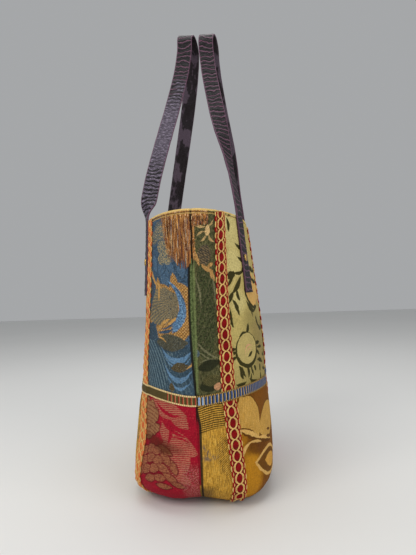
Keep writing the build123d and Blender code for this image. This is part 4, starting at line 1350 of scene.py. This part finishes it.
def strap_leather():
    """Leather crumpled across into ridges, with painted edges and a smoother back. Its top face has
    a painted lilac sheen over the lit stretch and painted highlights on the ridges, and its furrows
    are kept near black as painted shade.
    """
    shader = Shader("strap_leather", (13, 8, 12), 0.42)
    u, v = shader.weave()
    face = shader.attribute("shade")
    top, back = face.below(0.25, 0.1), face.above(0.75, 0.1)
    drift = shader.streaks(u * 0.08, v * 0.05) - 0.5
    wrinkle = shader.streaks(u * 0.22, v * 0.8, 2.0, 0.6)
    run = v + drift * 12 + u * 0.1 + (wrinkle - 0.5) * 0.8
    # lit: the stretch of the top face that gets the painted sheen
    lit = (v + drift * 160).below(285, 40)
    calm = v.above(170, 30) * v.below(255, 25)
    furrow = run.waves(5.4, 0.42, 0.6) | wrinkle.below(0.36, 0.04)
    furrow = furrow * (1.0 - calm * 0.75)
    # painted sheen: lilac-grey over the lit stretch, then painted highlights on its ridges
    shader.paint(top * lit * v.above(92, 12), (76, 68, 82))
    shader.paint(top * lit * wrinkle.above(0.56, 0.06) * v.above(92, 12), (124, 114, 132))
    # the furrows near black: painted shade in the creases over the sheen
    shader.paint(top * furrow, (12, 7, 10))
    # faint painted highlights on the wrinkles where the top face is unlit
    shader.paint(top * (1.0 - lit) * wrinkle.above(0.6, 0.06) * 0.5, (52, 42, 52))
    shader.paint(top * (1.0 - lit) * run.waves(7.2, 0.15, 0.3) * 0.75, (132, 86, 112))
    patches = shader.streaks(u * 0.06, v * 0.03, 3.0, 0.6)
    shader.paint(back, (30, 23, 28))
    shader.paint(back * patches.above(0.54, 0.05) * 0.7, (90, 76, 90))
    shader.paint(back * patches.below(0.44, 0.06), (22, 14, 18))
    edge = abs(u + (wrinkle - 0.5) * 1.2).above(9.0, 0.5)
    shader.paint(top * edge * 0.8 | (1.0 - top) * (1.0 - back) * 0.6, (112, 76, 98))
    shader.height = wrinkle * 1.1 - furrow * 0.9 * top
    shader.feed("Roughness", 0.36 + wrinkle * 0.25)
    shader.feed("Specular IOR Level", LEATHER_SHINE)
    return shader.finish(0.8, 0.0008)


def brass():
    shader = Shader("brass", (206, 170, 96), 0.3)
    shader.solid()
    haze = shader.noise(400.0, 3.0, 0.6)
    shader.paint(haze.above(0.55, 0.15) * 0.5, (140, 104, 52))
    shader.feed("Metallic", 1.0)
    shader.feed("Roughness", 0.24 + haze * 0.25)
    shader.height = haze
    return shader.finish(0.15, 0.0002)


LOOKS = {look.__name__: look for look in (
    blue_brocade, crimson_brocade, green_brocade, cream_brocade, gold_brocade, ochre_brocade,
    blue_ribbon, olive_ribbon, loose_threads, strap_leather, brass)}
PLAIN_LOOKS = {
    "base_cloth": (plain_cloth, (122, 84, 44), (88, 60, 32)),
    "lining_cloth": (plain_cloth, (168, 148, 112), (140, 120, 88)),
    "red_braid": (corded, (132, 30, 28), (84, 12, 14)),
    "orange_braid": (corded, (222, 148, 92), (196, 110, 62)),
    "pale_cord": (corded, (230, 196, 120), (176, 124, 66)),
    "red_cord": (corded, (160, 16, 22), (96, 6, 12)),
    "orange_cord": (corded, (228, 130, 74), (190, 84, 44)),
}


def material(name):
    """The finished material of that name; the frame's own plain ones keep the bare names."""
    made = bpy.data.materials.get(name + "_look")
    if made:
        return made
    if name in LOOKS:
        return LOOKS[name]()
    maker, ground, dark = PLAIN_LOOKS[name]
    return maker(name, ground, dark)


# Stage

LIT_POINT = Vector((0, 0, 0.22))


def build_stage():
    scene = bpy.context.scene
    settings = scene.tote_stage
    bpy.ops.object.select_all(action="DESELECT")
    bpy.ops.mesh.primitive_plane_add(size=8.0, location=(0, 0, 0))
    floor = bpy.context.object
    floor.name = "floor"
    shader = Shader("floor_paint", (226, 226, 224), 0.6)
    shader.solid()
    shader.paint(shader.noise(2.0).above(0.5, 0.4) * 0.2, (216, 216, 214))
    floor.data.materials.append(shader.finish())

    yaw, pitch, roll = settings.turn
    up = Vector((0, 0, 1))
    ahead = Vector((math.cos(yaw), -math.sin(yaw), 0))
    right = Vector((-math.sin(yaw), -math.cos(yaw), 0))
    view = ahead * math.cos(pitch) + up * math.sin(pitch)
    lift = up * math.cos(pitch) - ahead * math.sin(pitch)
    right, lift = (right * math.cos(roll) + lift * math.sin(roll),
                   lift * math.cos(roll) - right * math.sin(roll))
    camera_data = bpy.data.cameras.new("camera")
    camera_data.lens = settings.lens
    camera_data.clip_start = 0.01
    camera = bpy.data.objects.new("camera", camera_data)
    scene.collection.objects.link(camera)
    turn = Matrix((right, lift, -view)).transposed().to_4x4()
    camera.matrix_world = Matrix.Translation(Vector(settings.eye)) @ turn
    scene.camera = camera

    for name, place, size, power, colour in (
            ("key_light", (-1.1, 0.9, 1.3), 0.9, settings.key, (1.0, 0.98, 0.95)),
            ("fill_light", (-1.0, -1.2, 0.8), 1.2, settings.key * 0.75, (1.0, 0.97, 0.93)),
            ("top_light", (0.1, 0.1, 1.6), 1.2, settings.key * 0.7, (1.0, 1.0, 1.0))):
        light_data = bpy.data.lights.new(name, "AREA")
        light_data.size, light_data.energy, light_data.color = size, power, colour
        light = bpy.data.objects.new(name, light_data)
        light.location = place
        light.rotation_euler = (LIT_POINT - Vector(place)).to_track_quat("-Z", "Y").to_euler()
        scene.collection.objects.link(light)
    world = bpy.data.worlds.new("studio")
    world.use_nodes = True
    background = world.node_tree.nodes["Background"]
    background.inputs["Color"].default_value = (0.9, 0.92, 0.94, 1.0)
    background.inputs["Strength"].default_value = settings.sky
    scene.world = world
    scene.view_settings.view_transform = "Standard"


# Operators

def cloth_step():
    return bpy.context.scene.tote_cloth.step / MM * 1.0


def build_bases():
    build_base(BASE_THICKNESS, 0.0, "base_cloth_panel", "base_panel", "base_cloth")
    build_base(LINING_THICKNESS, BASE_THICKNESS + LINING_CLEARANCE, "inside_base", "lining_base",
               "lining_cloth")


class TOTE_OT_patches(bpy.types.Operator):
    """Build the tapestry patches of both walls"""
    bl_idname = "tote.patches"
    bl_label = "Tapestry Patches"
    bl_options = {"REGISTER", "UNDO"}

    def execute(self, context):
        build_patches(cloth_step())
        return {"FINISHED"}


class TOTE_OT_lining(bpy.types.Operator):
    """Build the lining of both walls"""
    bl_idname = "tote.lining"
    bl_label = "Lining"
    bl_options = {"REGISTER", "UNDO"}

    def execute(self, context):
        build_lining(cloth_step())
        return {"FINISHED"}


class TOTE_OT_base(bpy.types.Operator):
    """Build the base panel and its lining"""
    bl_idname = "tote.base"
    bl_label = "Base"
    bl_options = {"REGISTER", "UNDO"}

    def execute(self, context):
        build_bases()
        return {"FINISHED"}


class TOTE_OT_ribbons(bpy.types.Operator):
    """Build the two woven ribbons"""
    bl_idname = "tote.ribbons"
    bl_label = "Ribbons"
    bl_options = {"REGISTER", "UNDO"}

    def execute(self, context):
        build_ribbons()
        return {"FINISHED"}


class TOTE_OT_braids(bpy.types.Operator):
    """Build the gimp braids over the upright seams"""
    bl_idname = "tote.braids"
    bl_label = "Gimp Braids"
    bl_options = {"REGISTER", "UNDO"}

    def execute(self, context):
        build_braids()
        return {"FINISHED"}


class TOTE_OT_stitches(bpy.types.Operator):
    """Sew the line of stitches below the rim"""
    bl_idname = "tote.stitches"
    bl_label = "Rim Stitches"
    bl_options = {"REGISTER", "UNDO"}

    def execute(self, context):
        build_stitches()
        return {"FINISHED"}


class TOTE_OT_threads(bpy.types.Operator):
    """Add the loose warp threads of the worn corner"""
    bl_idname = "tote.threads"
    bl_label = "Frayed Threads"
    bl_options = {"REGISTER", "UNDO"}

    def execute(self, context):
        build_frayed_threads()
        return {"FINISHED"}


class TOTE_OT_straps(bpy.types.Operator):
    """Build the two leather straps"""
    bl_idname = "tote.straps"
    bl_label = "Leather Straps"
    bl_options = {"REGISTER", "UNDO"}

    def execute(self, context):
        build_straps()
        return {"FINISHED"}


class TOTE_OT_rivets(bpy.types.Operator):
    """Build the brass rivets"""
    bl_idname = "tote.rivets"
    bl_label = "Rivets"
    bl_options = {"REGISTER", "UNDO"}

    def execute(self, context):
        build_rivets()
        return {"FINISHED"}


class TOTE_OT_stage(bpy.types.Operator):
    """Add the floor, the lights and the camera"""
    bl_idname = "tote.stage"
    bl_label = "Stage"
    bl_options = {"REGISTER", "UNDO"}

    def execute(self, context):
        build_stage()
        return {"FINISHED"}


OPERATORS = (TOTE_OT_patches, TOTE_OT_lining, TOTE_OT_base, TOTE_OT_ribbons, TOTE_OT_braids,
             TOTE_OT_stitches, TOTE_OT_threads, TOTE_OT_straps, TOTE_OT_rivets, TOTE_OT_stage)


class TOTE_PT_panel(bpy.types.Panel):
    """Buttons for every step of the bag."""
    bl_idname = "TOTE_PT_panel"
    bl_label = "Tote Bag"
    bl_space_type = "VIEW_3D"
    bl_region_type = "UI"
    bl_category = "Tote Bag"

    def draw(self, context):
        for kind in OPERATORS:
            self.layout.operator(kind.bl_idname)
        for group in SETTINGS:
            settings = getattr(context.scene, group)
            for name in settings.__annotations__:
                self.layout.prop(settings, name)


SETTINGS = {"tote_cloth": ClothSettings, "tote_trim": TrimSettings, "tote_stage": StageSettings}
CLASSES = [*SETTINGS.values(), *OPERATORS, TOTE_PT_panel]


def register():
    for kind in CLASSES:
        bpy.utils.register_class(kind)
    for name, kind in SETTINGS.items():
        setattr(bpy.types.Scene, name, bpy.props.PointerProperty(type=kind))


def unregister():
    for name in SETTINGS:
        delattr(bpy.types.Scene, name)
    for kind in reversed(CLASSES):
        bpy.utils.unregister_class(kind)


WALLS = {side: Wall(side) for side in (FRONT, BACK)}


def main():
    register()
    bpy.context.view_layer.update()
    for kind in OPERATORS:
        getattr(bpy.ops.tote, kind.bl_idname.split(".")[1])()


if __name__ == "__main__":
    main()
